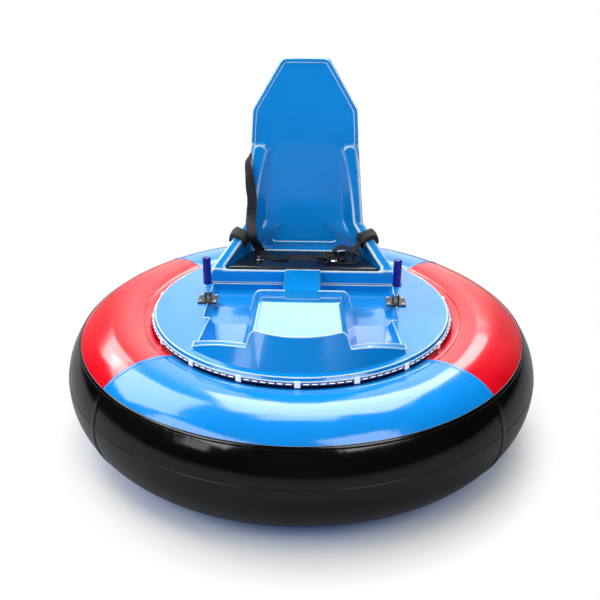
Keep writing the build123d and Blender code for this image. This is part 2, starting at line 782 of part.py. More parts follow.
# Casters: a fixed plate, a fork that swivels on its kingpin, and a wheel that trails behind it
for place, pivot_y in (("front", -caster_y), ("rear", caster_y)):
    plate_z = frame_bottom - caster_plate
    with BuildPart() as caster_mount:
        with BuildSketch(Plane.XY.offset(plate_z)):
            with Locations((0, pivot_y)):
                RectangleRounded(caster_plate_size, frame_bar + caster_hub, caster_hub)
                Circle(kingpin_r + pin_gap, mode=Mode.SUBTRACT)
        extrude(amount=caster_plate)
    finish(caster_mount, f"caster_plate_{place}")

    axle_y = pivot_y + caster_trail
    crown_top = plate_z - side_gap
    ear_x = caster_width / 2 + caster_hub
    with BuildPart() as fork:
        with BuildSketch(Plane.XY.offset(crown_top - fork_crown)):
            with Locations((0, pivot_y - fork_boss_r)):
                Rectangle(2 * (ear_x + fork_thickness), fork_length, align=(Align.CENTER, Align.MIN))
        extrude(amount=fork_crown)
        with BuildSketch(Plane.YZ.offset(ear_x)):
            with BuildLine():
                Polyline((pivot_y - fork_boss_r, crown_top - fork_crown),
                         (pivot_y - fork_boss_r + fork_length, crown_top - fork_crown),
                         (axle_y + fork_boss_r, caster_r), (axle_y - fork_boss_r, caster_r),
                         close=True)
            make_face()
            with Locations((axle_y, caster_r)):
                Circle(fork_boss_r)
        extrude(amount=fork_thickness)
        mirror(about=Plane.YZ)
        with Locations((0, pivot_y, crown_top)):
            Cylinder(kingpin_r, kingpin_length, align=(Align.CENTER, Align.CENTER, Align.MIN))
        with BuildSketch(Plane.YZ):
            with Locations((axle_y, caster_r)):
                Circle(caster_axle_r)
        extrude(amount=ear_x + fork_thickness + caster_hub, both=True)
    finish(fork, f"caster_fork_{place}")

    with BuildPart() as caster_wheel:
        with BuildSketch(Plane.XZ.offset(-axle_y)) as section:
            with Locations((0, caster_r + caster_axle_r + pin_gap)):
                Rectangle(caster_width, caster_r - caster_axle_r - pin_gap,
                          align=(Align.CENTER, Align.MIN))
            fillet(section.vertices().group_by(Axis.Y)[-1], caster_round)
        revolve(axis=Axis((0, axle_y, caster_r), (1, 0, 0)))
    finish(caster_wheel, f"caster_wheel_{place}")

# Hand levers: a bolted plate with two ears, and a rod that rocks fore and aft on its pin
pivot_z = deck_top + lever_plate_thickness + lever_pivot_rise - caster_hub
for place, side in (("left", -1), ("right", 1)):
    pivot = (side * lever_x, lever_y, pivot_z)
    with BuildPart() as lever_base:
        with BuildSketch(Plane.XY.offset(deck_top)):
            with Locations((side * lever_x, lever_y)):
                RectangleRounded(lever_plate, lever_plate, lever_corner)
        extrude(amount=lever_plate_thickness)
        plate_top = deck_top + lever_plate_thickness
        for ear_side in (-1, 1):
            with BuildSketch(Plane.YZ.offset(pivot[0] + ear_side * (lever_ear_gap + lever_ear / 2))):
                with Locations((lever_y, pivot_z)):
                    Circle(lever_ear_half)
                with Locations((lever_y, plate_top)):
                    Rectangle(2 * lever_ear_half, pivot_z - plate_top,
                              align=(Align.CENTER, Align.MIN))
                with Locations((lever_y, pivot_z)):
                    Circle(lever_pin_r + pin_gap, mode=Mode.SUBTRACT)
            extrude(amount=lever_ear / 2, both=True)
    finish(lever_base, f"lever_base_{place}")

    with BuildPart() as lever_rod:
        with BuildSketch(Plane.YZ.offset(pivot[0])):
            with Locations((lever_y, pivot_z)):
                Circle(knuckle_r)
        extrude(amount=lever_ear_gap - side_gap, both=True)
        with BuildSketch(Plane.YZ.offset(pivot[0])):
            with Locations((lever_y, pivot_z)):
                Circle(lever_pin_r)
        extrude(amount=lever_ear_gap + lever_ear + side_gap, both=True)
        with BuildSketch(Plane.XY.offset(pivot_z)):
            with Locations((side * lever_x, lever_y)):
                Circle(rod_r)
        extrude(amount=grip_top - grip_round - pivot_z)
    finish(lever_rod, f"lever_rod_{place}")

    with BuildPart() as lever_grip:
        with BuildSketch(Plane.XY.offset(grip_bottom)):
            with Locations((side * lever_x, lever_y)):
                Circle(grip_r)
        extrude(amount=grip_top - grip_bottom)
        fillet(lever_grip.edges(), grip_round)
        with Locations((side * lever_x, lever_y, grip_bottom)):
            Cylinder(rod_r, grip_top - grip_round - grip_bottom, mode=Mode.SUBTRACT,
                     align=(Align.CENTER, Align.CENTER, Align.MIN))
    finish(lever_grip, f"lever_grip_{place}")

# Seat belt: a band wrapped over each arm, a lap part on the cushion and a shoulder part
cushion_top = seat_ledge + cushion_crown


def crossing(plane, low, high):
    """The point, in the plane's own coordinates, where a line crosses it."""
    share = (plane.origin - low).dot(plane.z_dir) / (high - low).dot(plane.z_dir)
    return plane.to_local_coords(low + (high - low) * share)


def side_point(plane, rows, z):
    """The point of an arm's side at a height, in the coordinates of a plane across the arm."""
    front, middle = between(rows, z)[1:3]
    return crossing(plane, Vector(*front, z), Vector(*middle, z))


for place, side in (("left", -1), ("right", 1)):
    ridge_foot, ridge, ridge_head = [Vector(*between(seat_body, z)[1], z)
                                     for z in (wrap_z - wrap_width, wrap_z, seat_arm_top)]
    arm_plane = Plane(origin=ridge, x_dir=(ridge_head - ridge_foot).cross(Vector(0, -1, 0)),
                      z_dir=ridge_head - ridge_foot)
    inner_edge = crossing(arm_plane, inner_ridge(wrap_z - wrap_width), inner_ridge(wrap_z))
    outer_side = side_point(arm_plane, seat_body, wrap_z - wrap_drop)
    inner_side = side_point(arm_plane, seat_hollow, wrap_z - wrap_drop) - inner_edge
    with BuildPart() as belt_wrap:
        with BuildSketch(arm_plane):
            for reach, gap, mode in ((1, wrap_gap + wrap_thickness, Mode.ADD),
                                     (2, wrap_gap, Mode.SUBTRACT)):
                with BuildSketch(arm_plane, mode=Mode.PRIVATE) as arm_section:
                    with BuildLine():
                        Polyline(outer_side * reach, (0, 0), inner_edge,
                                 inner_edge + inner_side * reach, close=True)
                    make_face()
                offset(arm_section.sketch_local, amount=gap, mode=mode)
        extrude(amount=wrap_width / 2, both=True)
        if side < 0:
            mirror(about=Plane.YZ, mode=Mode.REPLACE)
    finish(belt_wrap, f"belt_wrap_{place}")

with BuildPart() as belt_lap:
    with BuildSketch(Plane.XY.offset(cushion_top + soft_gap)):
        with BuildLine():
            FilletPolyline(*lap_route, radius=lap_bend_r)
        trace(line_width=webbing)
    extrude(amount=webbing_thickness)
finish(belt_lap, "belt_lap")

lap_top = cushion_top + 2 * soft_gap + webbing_thickness
with BuildPart() as belt_shoulder:
    sections = []
    for x, y, z, turn_deg in ((*shoulder_foot, lap_top, 0.0), *shoulder_run):
        with BuildSketch(Plane.XY.offset(z)) as section:
            with Locations(Location((x, y, 0), (0, 0, -turn_deg))):
                Rectangle(webbing, webbing_thickness)
        sections.append(section.sketch)
    loft(sections, ruled=True)
finish(belt_shoulder, "belt_shoulder")

with BuildPart() as belt_tongue:
    with BuildSketch(Plane.XY.offset(lap_top)):
        with Locations((tongue_x, lap_route[-1][1])):
            Ellipse(tongue_length / 2, tongue_width / 2)
    extrude(amount=tongue_thickness)
finish(belt_tongue, "belt_tongue")

with BuildPart() as belt_buckle:
    with BuildSketch(Plane.XY.offset(cushion_top + soft_gap)):
        with Locations((buckle_x, buckle_y)):
            RectangleRounded(buckle_length, buckle_width, buckle_round)
    extrude(amount=buckle_height)
    fillet(belt_buckle.faces().sort_by(Axis.Z)[-1].edges(), buckle_edge)
finish(belt_buckle, "belt_buckle")

with BuildPart() as belt_tail:
    start_x = buckle_x + buckle_length / 2 + soft_gap
    tail_z = cushion_top + buckle_height / 2
    sections = []
    for x, z in ((start_x, tail_z), (start_x + tail_reach, tail_z + tail_rise)):
        with BuildSketch(Plane.YZ.offset(x)) as section:
            with Locations((buckle_y + (x - start_x) / 2, z)):
                Rectangle(webbing, webbing_thickness)
        sections.append(section.sketch)
    loft(sections, ruled=True)
finish(belt_tail, "belt_tail")
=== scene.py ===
import json
from math import atan2, cos, degrees, pi, radians, sin, tan

import bmesh
import bpy
from mathutils import Euler, Matrix, Vector


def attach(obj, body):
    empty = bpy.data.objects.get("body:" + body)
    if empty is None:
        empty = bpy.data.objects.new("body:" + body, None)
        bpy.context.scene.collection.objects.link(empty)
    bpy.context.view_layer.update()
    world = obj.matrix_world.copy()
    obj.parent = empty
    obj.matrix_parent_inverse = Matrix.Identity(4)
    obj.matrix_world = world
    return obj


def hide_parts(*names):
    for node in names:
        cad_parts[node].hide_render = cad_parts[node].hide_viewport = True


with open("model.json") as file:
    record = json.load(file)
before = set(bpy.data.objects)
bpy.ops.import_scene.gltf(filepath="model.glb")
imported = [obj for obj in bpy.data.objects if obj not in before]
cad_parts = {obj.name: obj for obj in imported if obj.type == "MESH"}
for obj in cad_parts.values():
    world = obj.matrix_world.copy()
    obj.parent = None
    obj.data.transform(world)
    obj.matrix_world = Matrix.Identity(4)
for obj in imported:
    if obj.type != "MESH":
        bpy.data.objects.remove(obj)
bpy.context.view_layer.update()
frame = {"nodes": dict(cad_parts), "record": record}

# Camera: 48 mm lens on a square frame, looking down on the front of the car, with its angles in radians
CAMERA_PLACE = (0.0639, -2.9712, 1.9013)
CAMERA_TURN = 0.0237
CAMERA_TILT = 0.438
CAMERA_ROLL = 0.0046
LENS = 48.0
SENSOR = 36.0
VIEW_END = 60.0

# Studio: lamps round one point of the car, and a floor that is shaded near the car and white further off
LAMP_AIM = Vector((0.0, 0.0, 0.45))
LAMP_DISTANCE = 9.0
FLOOR_SIZE = 40.0
SHADE_R, WHITE_R = 0.88, 1.08
WHITE = (1.0, 1.0, 1.0, 1.0)

# Ring tube, with the section that its CAD has: corner arcs joined by flatter crown and flank arcs
TUBE_MID_R, TUBE_MID_Z = 0.720, 0.255
TUBE_HALF_WIDTH, TUBE_HALF_HEIGHT = 0.230, 0.220
CORNER_R, CORNER_X, CORNER_Z = 0.165, 0.050, 0.046
CROWN_RISE = TUBE_HALF_HEIGHT - CORNER_Z
CROWN_R = (CROWN_RISE**2 + CORNER_X**2 - CORNER_R**2) / (2 * (CROWN_RISE - CORNER_R))
FLANK_REACH = TUBE_HALF_WIDTH - CORNER_X
FLANK_R = (FLANK_REACH**2 + CORNER_Z**2 - CORNER_R**2) / (2 * (FLANK_REACH - CORNER_R))
CROWN_TURN = degrees(atan2(CORNER_Z - TUBE_HALF_HEIGHT + CROWN_R, CORNER_X))
FLANK_TURN = degrees(atan2(CORNER_Z, CORNER_X - TUBE_HALF_WIDTH + FLANK_R))
# Seams round the ring, by the angle of the skin's outward normal above the horizontal, in degrees
TOP_SEAM, UNDER_SEAM, LAP_SEAM, CREASE, INNER_EDGE = 43.85, -62.97, 6.0, 105.0, 180.0
CREASE_START, CREASE_END = CREASE - 3.5, CREASE + 4.5
# Seams across the ring, by the bearing from its front, in degrees
FRONT_SEAM, REAR_SEAM = 50.0, 133.0
SKIN = 0.0015
# Welded tapes: how far each stands off the skin, how wide it is, and how deep all of them reach into it
COVER_TAPE, COVER_TAPE_WIDTH = 0.0016, 0.015
CASING_TAPE, CASING_TAPE_WIDTH = 0.0014, 0.022
TAPE_SINK = 0.0006
BAND_SINK = 0.0008
# Radius of each seam that gathers the vinyl, and how far from it the gathers reach
GATHERED_SEAMS = ((0.889, 0.05), (0.640, 0.03))

# Deck and seat mouldings: the wings end in thumbs, whose sides fall away from their middle
EDGE_ROLL_R, EDGE_ROLL_ANGLE, EDGE_ROLL_UP = 0.0028, 30.0, 0.25
SHELL_VOXEL = 0.0048
WING_INNER, WING_MIDDLE, WING_BACK = 0.15, 0.200, 0.504
THUMB_FOOT, THUMB_RISE, THUMB_DROP, THUMB_REACH = 0.94, 0.08, 0.03, 0.036
BACK_NORMAL = Vector((0.0, -1.0, 0.09))
# Line of the seat back's rim on its right side, and the foot of the back, in millimetres
RIM_LINE = (
    (226.5, 505.5, 1034), (225.5, 508, 1060), (222, 514, 1120), (218.5, 519.0, 1165), (214, 521.5, 1181),
    (206, 522.5, 1194), (181, 526, 1236), (152, 530.5, 1284), (123, 535, 1332), (105, 537.8, 1361),
    (98, 538.8, 1372), (88, 539.4, 1379), (60, 539.6, 1381), (20, 539.7, 1381.5))
FOOT_Y, FOOT_Z = 473.0, 577.0
FOOT_STRAIGHT, FOOT_BEND, FOOT_LIFT = 125.0, 25.0, 9.0
RIM_THICKNESS, SEAT_RIM_WIDTH, FOOT_RIM_WIDTH = 0.009, 0.019, 0.020
RIM_SLOPE, RIM_SHOULDER = 0.003, 0.38

# Light strip round the deck's rim
STRIP_R = 0.605
STRIP_MIDDLE = 0.4715
CLIPS = 18
LAMPS_BETWEEN = 7
LAMP_R, LAMP_STRETCH = 0.0022, (5.4, 0.7, 0.55)
MARK_SIZE = (0.0035, 0.0008, 0.0055)
CLIP_WIDER, CLIP_HIGHER = 1.9, 1.3

# Levers and drive wheels, on both sides of the car
SIDES = {"left": -1, "right": 1}
LEVER_X, LEVER_Y, PLATE_TOP = 0.388, 0.031, 0.496
BOLT_SPACING = 0.03
BOLT_R, BOLT_HEIGHT = 0.0048, 0.004
WASHER_R, WASHER_THICKNESS = 0.0066, 0.0014
WHEEL_X, WHEEL_Z = 0.305, 0.1
TREAD_R, GROOVE_FLOOR_R, GROOVE_PITCH = 0.100, 0.0965, 0.0105

# Belt webbing, and the padded cushion, which is drawn in a little for its swell
WEBBING_WIDTH, FOLD_WIDTH, WEBBING_THICKNESS, WEBBING_EDGE = 0.044, 0.036, 0.003, 0.0009
CUSHION_DRAWN_IN = (0.985, 0.975, 0.9)
SWELL_STEPS = 20

MILLIMETRE = 0.001
CAD_MERGE, MERGE = 2e-5, 1e-5
SPIN_STEP_DEG = 2.0
DISH_RIM, DISH_DEPTH = 0.12, 0.0008


def plug(tree, value, socket):
    """Links another node's output to the socket, or sets it to a plain value."""
    if isinstance(value, bpy.types.NodeSocket):
        tree.links.new(value, socket)
    else:
        socket.default_value = value


def add(material, kind, inputs=(), **settings):
    """A node of that kind; an input that is given another node's output is linked to it."""
    tree = material.node_tree
    made = tree.nodes.new("ShaderNode" + kind)
    for name, value in settings.items():
        setattr(made, name, value)
    for name, value in dict(inputs).items():
        plug(tree, value, made.inputs[name])
    return made


def figure(material, operation, first, second=0.0):
    """The result of a calculation with one or two values."""
    made = add(material, "Math", operation=operation)
    plug(material.node_tree, first, made.inputs[0])
    plug(material.node_tree, second, made.inputs[1])
    return made.outputs[0]


def spread(material, value, low, high, start=0.3, end=0.7):
    """The value between start and end, stretched to run from low to high."""
    return add(material, "MapRange", {"Value": value, "From Min": start, "From Max": end,
                                      "To Min": low, "To Max": high}).outputs["Result"]


def tint(material, value, dark, light, start=0.3, end=0.7):
    """The colour that runs from dark to light while the value runs from start to end."""
    made = add(material, "ValToRGB", {"Fac": value})
    first, last = made.color_ramp.elements
    first.position, last.position = start, end
    first.color, last.color = (*dark, 1.0), (*light, 1.0)
    return made.outputs["Color"]


def relief(material, height, depth, under=None):
    """A bump of that depth in metres, on top of another one."""
    made = add(material, "Bump", {"Height": height, "Strength": 1.0, "Distance": depth})
    if under is not None:
        material.node_tree.links.new(under, made.inputs["Normal"])
    return made.outputs["Normal"]


def speckle(material, place, scale, detail=3.0, stretch=None):
    """Cloudy noise at that place, which a stretch makes finer along an axis."""
    if stretch:
        place = add(material, "Mapping", {"Vector": place, "Scale": stretch}).outputs["Vector"]
    return add(material, "TexNoise", {"Vector": place, "Scale": scale, "Detail": detail}).outputs["Fac"]


def shaded(colour, share):
    """The colour made darker or lighter by a share."""
    return tuple(min(1.0, c * share) for c in colour)


def toned(shader, material, value, colour, dark, light, start=0.3, end=0.7):
    """Lets the value carry the base colour from one share of it to the other."""
    tones = tint(material, value, shaded(colour, dark), shaded(colour, light), start, end)
    plug(material.node_tree, tones, shader.inputs["Base Color"])


def begin(name, colour, roughness, **sockets):
    """A material, its shader and the object coordinates."""
    material = bpy.data.materials.new(name)
    material.use_nodes = True
    shader = material.node_tree.nodes["Principled BSDF"]
    shader.inputs["Base Color"].default_value = (*colour, 1.0)
    shader.inputs["Roughness"].default_value = roughness
    for socket, value in sockets.items():
        shader.inputs[socket.replace("_", " ")].default_value = value
    return material, shader, add(material, "TexCoord").outputs["Object"]


def moulded(name, colour, rough, patch, grain, depth, vary=0.1, stretch=None, **sockets):
    """A moulded, cast or painted finish: slow changes of tone, uneven gloss and a fine grain."""
    material, shader, place = begin(name, colour, rough[0], **sockets)
    tree = material.node_tree
    toned(shader, material, speckle(material, place, patch), colour, 1 - vary, 1 + vary)
    wear = speckle(material, place, 3.1 * patch, 5.0)
    plug(tree, spread(material, wear, *rough), shader.inputs["Roughness"])
    pores = speckle(material, place, grain, 2.0, stretch)
    plug(tree, relief(material, pores, depth), shader.inputs["Normal"])
    return material


def ring_vinyl(name, colour, vary, **sockets):
    """Coated vinyl of the inflated ring: glossy, a little uneven, gathered beside its seams."""
    material, shader, place = begin(name, colour, 0.1, Coat_Roughness=0.05, **sockets)
    tree = material.node_tree
    toned(shader, material, speckle(material, place, 2.3), colour, 1 - vary, 1 + vary)
    wear = speckle(material, place, 17.0, 5.0)
    plug(tree, spread(material, wear, 0.11, 0.17), shader.inputs["Roughness"])
    axes = add(material, "SeparateXYZ", {"Vector": place})
    flat = add(material, "CombineXYZ", {"X": axes.outputs["X"], "Y": axes.outputs["Y"]}).outputs["Vector"]
    radius = add(material, "VectorMath", {0: flat}, operation="LENGTH").outputs["Value"]
    round_car = figure(material, "ARCTAN2", axes.outputs["X"], axes.outputs["Y"])
    near = 0.0
    for seam_r, reach in GATHERED_SEAMS:
        off = figure(material, "ABSOLUTE", figure(material, "SUBTRACT", radius, seam_r))
        near = figure(material, "MAXIMUM", near, spread(material, off, 1.0, 0.0, 0.0, reach))
    waver = speckle(material, place, 7.0)
    turns = figure(material, "ADD", figure(material, "MULTIPLY", round_car, 92.0),
                   figure(material, "MULTIPLY", waver, 26.0))
    gathers = figure(material, "MULTIPLY", figure(material, "SINE", turns), near)
    slow = relief(material, speckle(material, place, 4.2, 1.0), 0.004)
    drawn = relief(material, gathers, 0.00012, slow)
    fine = relief(material, speckle(material, place, 900.0, 1.0), 0.00003, drawn)
    plug(tree, fine, shader.inputs["Normal"])
    return material


def gel_coat(name, colour, edge=None):
    """Polished gel coat over glass fibre: a clear gloss, faint waves of the mould and fine scuffs.

    Along the ridges that the piece has marked, the coat is painted pale, a painted highlight.
    """
    material, shader, place = begin(name, colour, 0.16, Coat_Weight=0.8, Coat_Roughness=0.03)
    tree = material.node_tree
    tone = speckle(material, place, 3.4)
    coat = tint(material, tone, shaded(colour, 0.93), shaded(colour, 1.06))
    # A painted highlight: the marked ridges take a pale edge colour in place of the coat's blue
    if edge:
        painted_ridge_highlight = add(material, "Attribute", attribute_name="painted_ridge_highlight").outputs["Fac"]
        pale = add(material, "MixRGB", {"Fac": painted_ridge_highlight, "Color1": coat, "Color2": (*edge, 1.0)})
        coat = pale.outputs["Color"]
    plug(tree, coat, shader.inputs["Base Color"])
    scuffs = speckle(material, place, 60.0, 4.0, (1.0, 6.0, 1.0))
    plug(tree, spread(material, scuffs, 0.12, 0.24), shader.inputs["Roughness"])
    waves = relief(material, speckle(material, place, 6.0, 1.0), 0.0012)
    fine = speckle(material, place, 240.0, 1.0)
    plug(tree, relief(material, fine, 0.00002, waves), shader.inputs["Normal"])
    return material


def upholstery(name, colour):
    """Smooth upholstery vinyl with a pebbled leather grain."""
    material, shader, place = begin(name, colour, 0.3, Coat_Weight=0.25, Coat_Roughness=0.25)
    tree = material.node_tree
    cells = add(material, "TexVoronoi", {"Vector": place, "Scale": 420.0}).outputs["Distance"]
    tone = speckle(material, place, 9.0, 5.0)
    toned(shader, material, tone, colour, 0.8, 1.4)
    plug(tree, spread(material, tone, 0.22, 0.36), shader.inputs["Roughness"])
    folds = relief(material, speckle(material, place, 14.0, 2.0), 0.0015)
    plug(tree, relief(material, cells, 0.0002, folds), shader.inputs["Normal"])
    return material


def woven(name, colour, along_strap):
    """Woven webbing: ribs along the strap, picks across it. A wrapped pad has no strap direction."""
    material, shader, place = begin(name, colour, 0.55, Sheen_Weight=0.05, Sheen_Roughness=0.4)
    tree = material.node_tree
    where = add(material, "UVMap", uv_map="strap").outputs["UV"] if along_strap else place
    axes = add(material, "SeparateXYZ", {"Vector": where})
    along = axes.outputs["Y"]
    if not along_strap:
        along = figure(material, "ADD", axes.outputs["Y"], axes.outputs["Z"])
    ribs = figure(material, "SINE", figure(material, "MULTIPLY", axes.outputs["X"], 2900.0))
    picks = figure(material, "SINE", figure(material, "MULTIPLY", along, 2100.0))
    weave = figure(material, "MULTIPLY", ribs, picks)
    worn = speckle(material, place, 40.0, 5.0)
    thread = figure(material, "ADD", figure(material, "MULTIPLY", weave, 0.25), worn)
    toned(shader, material, thread, colour, 0.5, 2.2, 0.2, 0.9)
    plug(tree, spread(material, worn, 0.42, 0.66), shader.inputs["Roughness"])
    plug(tree, relief(material, weave, 0.00025), shader.inputs["Normal"])
    return material


def spangled(name, colour):
    """Zinc plate with its crystals."""
    material, shader, place = begin(name, colour, 0.35, Metallic=1.0)
    tree = material.node_tree
    crystals = add(material, "TexVoronoi", {"Vector": place, "Scale": 130.0}).outputs["Color"]
    level = add(material, "SeparateColor", {"Color": crystals}).outputs["Red"]
    toned(shader, material, level, colour, 0.75, 1.15, 0.0, 1.0)
    plug(tree, spread(material, level, 0.26, 0.46, 0.0, 1.0), shader.inputs["Roughness"])
    plug(tree, relief(material, level, 0.0001), shader.inputs["Normal"])
    return material


def lamp_lens(name):
    """Milky lens of a small lamp that is lit."""
    material, shader, place = begin(name, (0.9, 0.93, 1.0), 0.2, Emission_Strength=1.25)
    tree = material.node_tree
    glow = tint(material, speckle(material, place, 120.0), (0.8, 0.86, 1.0), (1.0, 1.0, 1.0))
    plug(tree, glow, shader.inputs["Emission Color"])
    return material


def lit_strip(name):
    """Dark tape in a clear sleeve, mottled with circuit marks, with a soft blue glow."""
    material, shader, place = begin(name, (0.2, 0.2, 0.34), 0.2, Emission_Strength=0.2, Coat_Weight=0.5)
    tree = material.node_tree
    marks = speckle(material, place, 260.0, 2.0)
    plug(tree, tint(material, marks, (0.03, 0.03, 0.1), (0.12, 0.12, 0.28)), shader.inputs["Base Color"])
    plug(tree, tint(material, marks, (0.1, 0.1, 0.3), (0.3, 0.3, 0.7)), shader.inputs["Emission Color"])
    plug(tree, relief(material, marks, 0.0001), shader.inputs["Normal"])
    return material


def select_only(*pieces):
    """Selects these pieces alone; the first is the active one."""
    bpy.ops.object.select_all(action="DESELECT")
    for piece in pieces:
        piece.select_set(True)
    bpy.context.view_layer.objects.active = pieces[0]


def edit(piece):
    """Enters edit mode with all of the piece selected."""
    select_only(piece)
    bpy.ops.object.mode_set(mode="EDIT")
    bpy.ops.mesh.select_all(action="SELECT")


def leave():
    """Goes back to object mode."""
    bpy.ops.object.mode_set(mode="OBJECT")


def choose(piece, kind, wanted):
    """In edit mode, selects the edges or faces that pass a test of their place or normal."""
    bpy.ops.mesh.select_mode(type=kind)
    bpy.ops.mesh.select_all(action="DESELECT")
    mesh = bmesh.from_edit_mesh(piece.data)
    for element in {"EDGE": mesh.edges, "FACE": mesh.faces}[kind]:
        if wanted(element):
            element.select = True
    mesh.select_flush_mode()
    bmesh.update_edit_mesh(piece.data)


def apply_modifier(piece, kind, **settings):
    """Adds a modifier with these settings and applies it."""
    select_only(piece)
    modifier = piece.modifiers.new(kind.lower(), kind)
    for name, value in settings.items():
        setattr(modifier, name, value)
    bpy.ops.object.modifier_apply(modifier=modifier.name)


def primitive(shape, name, **sizes):
    """A new mesh primitive at its size and place, alone in being selected."""
    bpy.ops.object.select_all(action="DESELECT")
    getattr(bpy.ops.mesh, f"primitive_{shape}_add")(**sizes)
    piece = bpy.context.object
    piece.name = piece.data.name = name
    return piece


def merged_copy(node, name, flat=True):
    """A copy of a CAD node with its loose triangles joined, into flat faces where that is wanted."""
    mesh = frame["nodes"][node].data.copy()
    mesh.materials.clear()
    piece = bpy.data.objects.new(name, mesh)
    bpy.context.scene.collection.objects.link(piece)
    edit(piece)
    bpy.ops.mesh.customdata_custom_splitnormals_clear()
    bpy.ops.mesh.remove_doubles(threshold=CAD_MERGE)
    if flat:
        bpy.ops.mesh.dissolve_limited(angle_limit=radians(0.6))
    leave()
    return piece


def soften_edges(piece, width, segments, angle=30.0, crisp=False):
    """Rounds the sharp edges; a crisp piece keeps its flats flat right up to the rounding."""
    if crisp:
        select_only(piece)
        bpy.ops.object.shade_smooth_by_angle(angle=radians(angle))
    apply_modifier(piece, "BEVEL", width=width, segments=segments, limit_method="ANGLE",
                   angle_limit=radians(angle), use_clamp_overlap=False, miter_outer="MITER_ARC",
                   harden_normals=crisp)


def sharp_upper_edge(edge):
    """Whether the edge stands out sharply and one of its faces looks upwards."""
    if not (edge.is_manifold and edge.is_convex):
        return False
    highest = max(face.normal.z for face in edge.link_faces)
    return edge.calc_face_angle() > radians(EDGE_ROLL_ANGLE) and highest > EDGE_ROLL_UP


def edge_rolls(node, name, radius, wanted):
    """A thin round roll along the edges of a CAD node that pass a test."""
    piece = merged_copy(node, name)
    edit(piece)
    choose(piece, "EDGE", lambda edge: not wanted(edge))
    bpy.ops.mesh.delete(type="EDGE")
    bpy.ops.mesh.select_all(action="SELECT")
    bpy.ops.mesh.delete(type="ONLY_FACE")
    leave()
    bpy.ops.object.convert(target="CURVE")
    line = bpy.context.object.data
    line.bevel_depth = radius
    line.bevel_resolution = 2
    line.use_fill_caps = True
    bpy.ops.object.convert(target="MESH")
    return bpy.context.object


def mark_painted_highlights(piece, start, full):
    """Writes how sharply each point of a fine mesh stands out, from start to full degrees, as the share of a
    painted highlight.
    """
    mesh = bmesh.new()
    mesh.from_mesh(piece.data)
    mesh.verts.ensure_lookup_table()
    bend = []
    for vertex in mesh.verts:
        turns = [edge.calc_face_angle_signed(0.0) for edge in vertex.link_edges]
        bend.append(max(turns, default=0.0))
    shares = []
    for vertex in mesh.verts:
        nearby = sum(bend[edge.other_vert(vertex).index] for edge in vertex.link_edges)
        turn = 0.5 * bend[vertex.index] + 0.5 * nearby / max(len(vertex.link_edges), 1)
        shares.append(min(1.0, max(0.0, (turn - radians(start)) / radians(full - start))))
    mesh.free()
    painted_ridge_highlight = piece.data.attributes.new("painted_ridge_highlight", "FLOAT", "POINT")
    painted_ridge_highlight.data.foreach_set("value", shares)


def done(piece, finish, body="car", replaces=(), smooth=35.0):
    """Puts a finished piece's place into its mesh, gives it its finish and lets it ride on a body.

    A piece with a second slot for material has the finish's pale version there, a painted highlight.
    """
    select_only(piece)
    bpy.ops.object.transform_apply(location=True, rotation=True, scale=True)
    if smooth:
        bpy.ops.object.shade_smooth_by_angle(angle=radians(smooth))
    if len(piece.data.materials) > 1:
        piece.data.materials[0], piece.data.materials[1] = finishes[finish], finishes[finish + "_edge"]
    else:
        piece.data.materials.clear()
        piece.data.materials.append(finishes[finish])
    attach(piece, body)
    if replaces:
        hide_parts(*replaces)
    return piece


def twins(source, name, places):
    """Copies of a small piece, each with its place and turn, as one object; the source goes."""
    copies = []
    for place, turn in places:
        twin = source.copy()
        twin.data = source.data.copy()
        bpy.context.scene.collection.objects.link(twin)
        twin.matrix_world = Matrix.Translation(place) @ turn.to_matrix().to_4x4()
        copies.append(twin)
    bpy.data.objects.remove(source)
    select_only(*copies)
    bpy.ops.object.join()
    copies[0].name = copies[0].data.name = name
    return copies[0]


def heading(turn_deg):
    """Outwards from the car's middle, turned from the front towards +X."""
    return Vector((sin(radians(turn_deg)), -cos(radians(turn_deg)), 0.0))


def strip_places(turns):
    """Places on the light strip at these bearings, each with its turn, for copies of a small piece."""
    return [(heading(turn) * STRIP_R + Vector((0, 0, STRIP_MIDDLE)), Euler((0.0, 0.0, radians(turn))))
            for turn in turns]


def oval_point(turn_deg, lift=0.0):
    """Radius and height of the ring's skin where its normal has that angle, lifted off it."""
    side = 1.0 if cos(radians(turn_deg)) >= 0 else -1.0
    level = 1.0 if sin(radians(turn_deg)) >= 0 else -1.0
    slope = degrees(atan2(abs(sin(radians(turn_deg))), abs(cos(radians(turn_deg)))))
    if slope < FLANK_TURN:
        arc_r, x, z = FLANK_R, TUBE_HALF_WIDTH - FLANK_R, 0.0
    elif slope < CROWN_TURN:
        arc_r, x, z = CORNER_R, CORNER_X, CORNER_Z
    else:
        arc_r, x, z = CROWN_R, 0.0, TUBE_HALF_HEIGHT - CROWN_R
    x += (arc_r + lift) * cos(radians(slope))
    z += (arc_r + lift) * sin(radians(slope))
    return TUBE_MID_R + side * x, TUBE_MID_Z + level * z


def skin_line(start, end, steps):
    """Points on the ring's skin from one angle of its normal to another."""
    return [oval_point(start + (end - start) * i / steps) for i in range(steps + 1)]


def drawn(name, outline, closed, place_of):
    """A line of points in edit mode, made from a circle: place_of turns each outline point to 3-D."""
    piece = primitive("circle", name, vertices=len(outline), radius=1.0)
    bpy.ops.object.mode_set(mode="EDIT")
    mesh = bmesh.from_edit_mesh(piece.data)
    mesh.verts.ensure_lookup_table()
    for vertex, point in zip(mesh.verts, outline):
        vertex.co = place_of(point)
    if not closed:
        mesh.edges.remove(mesh.edges.get((mesh.verts[-1], mesh.verts[0])))
    bmesh.update_edit_mesh(piece.data)
    bpy.ops.mesh.select_all(action="SELECT")
    return piece


def upright(point):
    """A point of a section, set in the upright plane through the origin."""
    return Vector((point[0], 0.0, point[1]))


def close_spin():
    """In edit mode, merges the points that a spin doubled and makes all faces look the same way."""
    bpy.ops.mesh.select_all(action="SELECT")
    bpy.ops.mesh.remove_doubles(threshold=MERGE)
    bpy.ops.mesh.normals_make_consistent(inside=False)


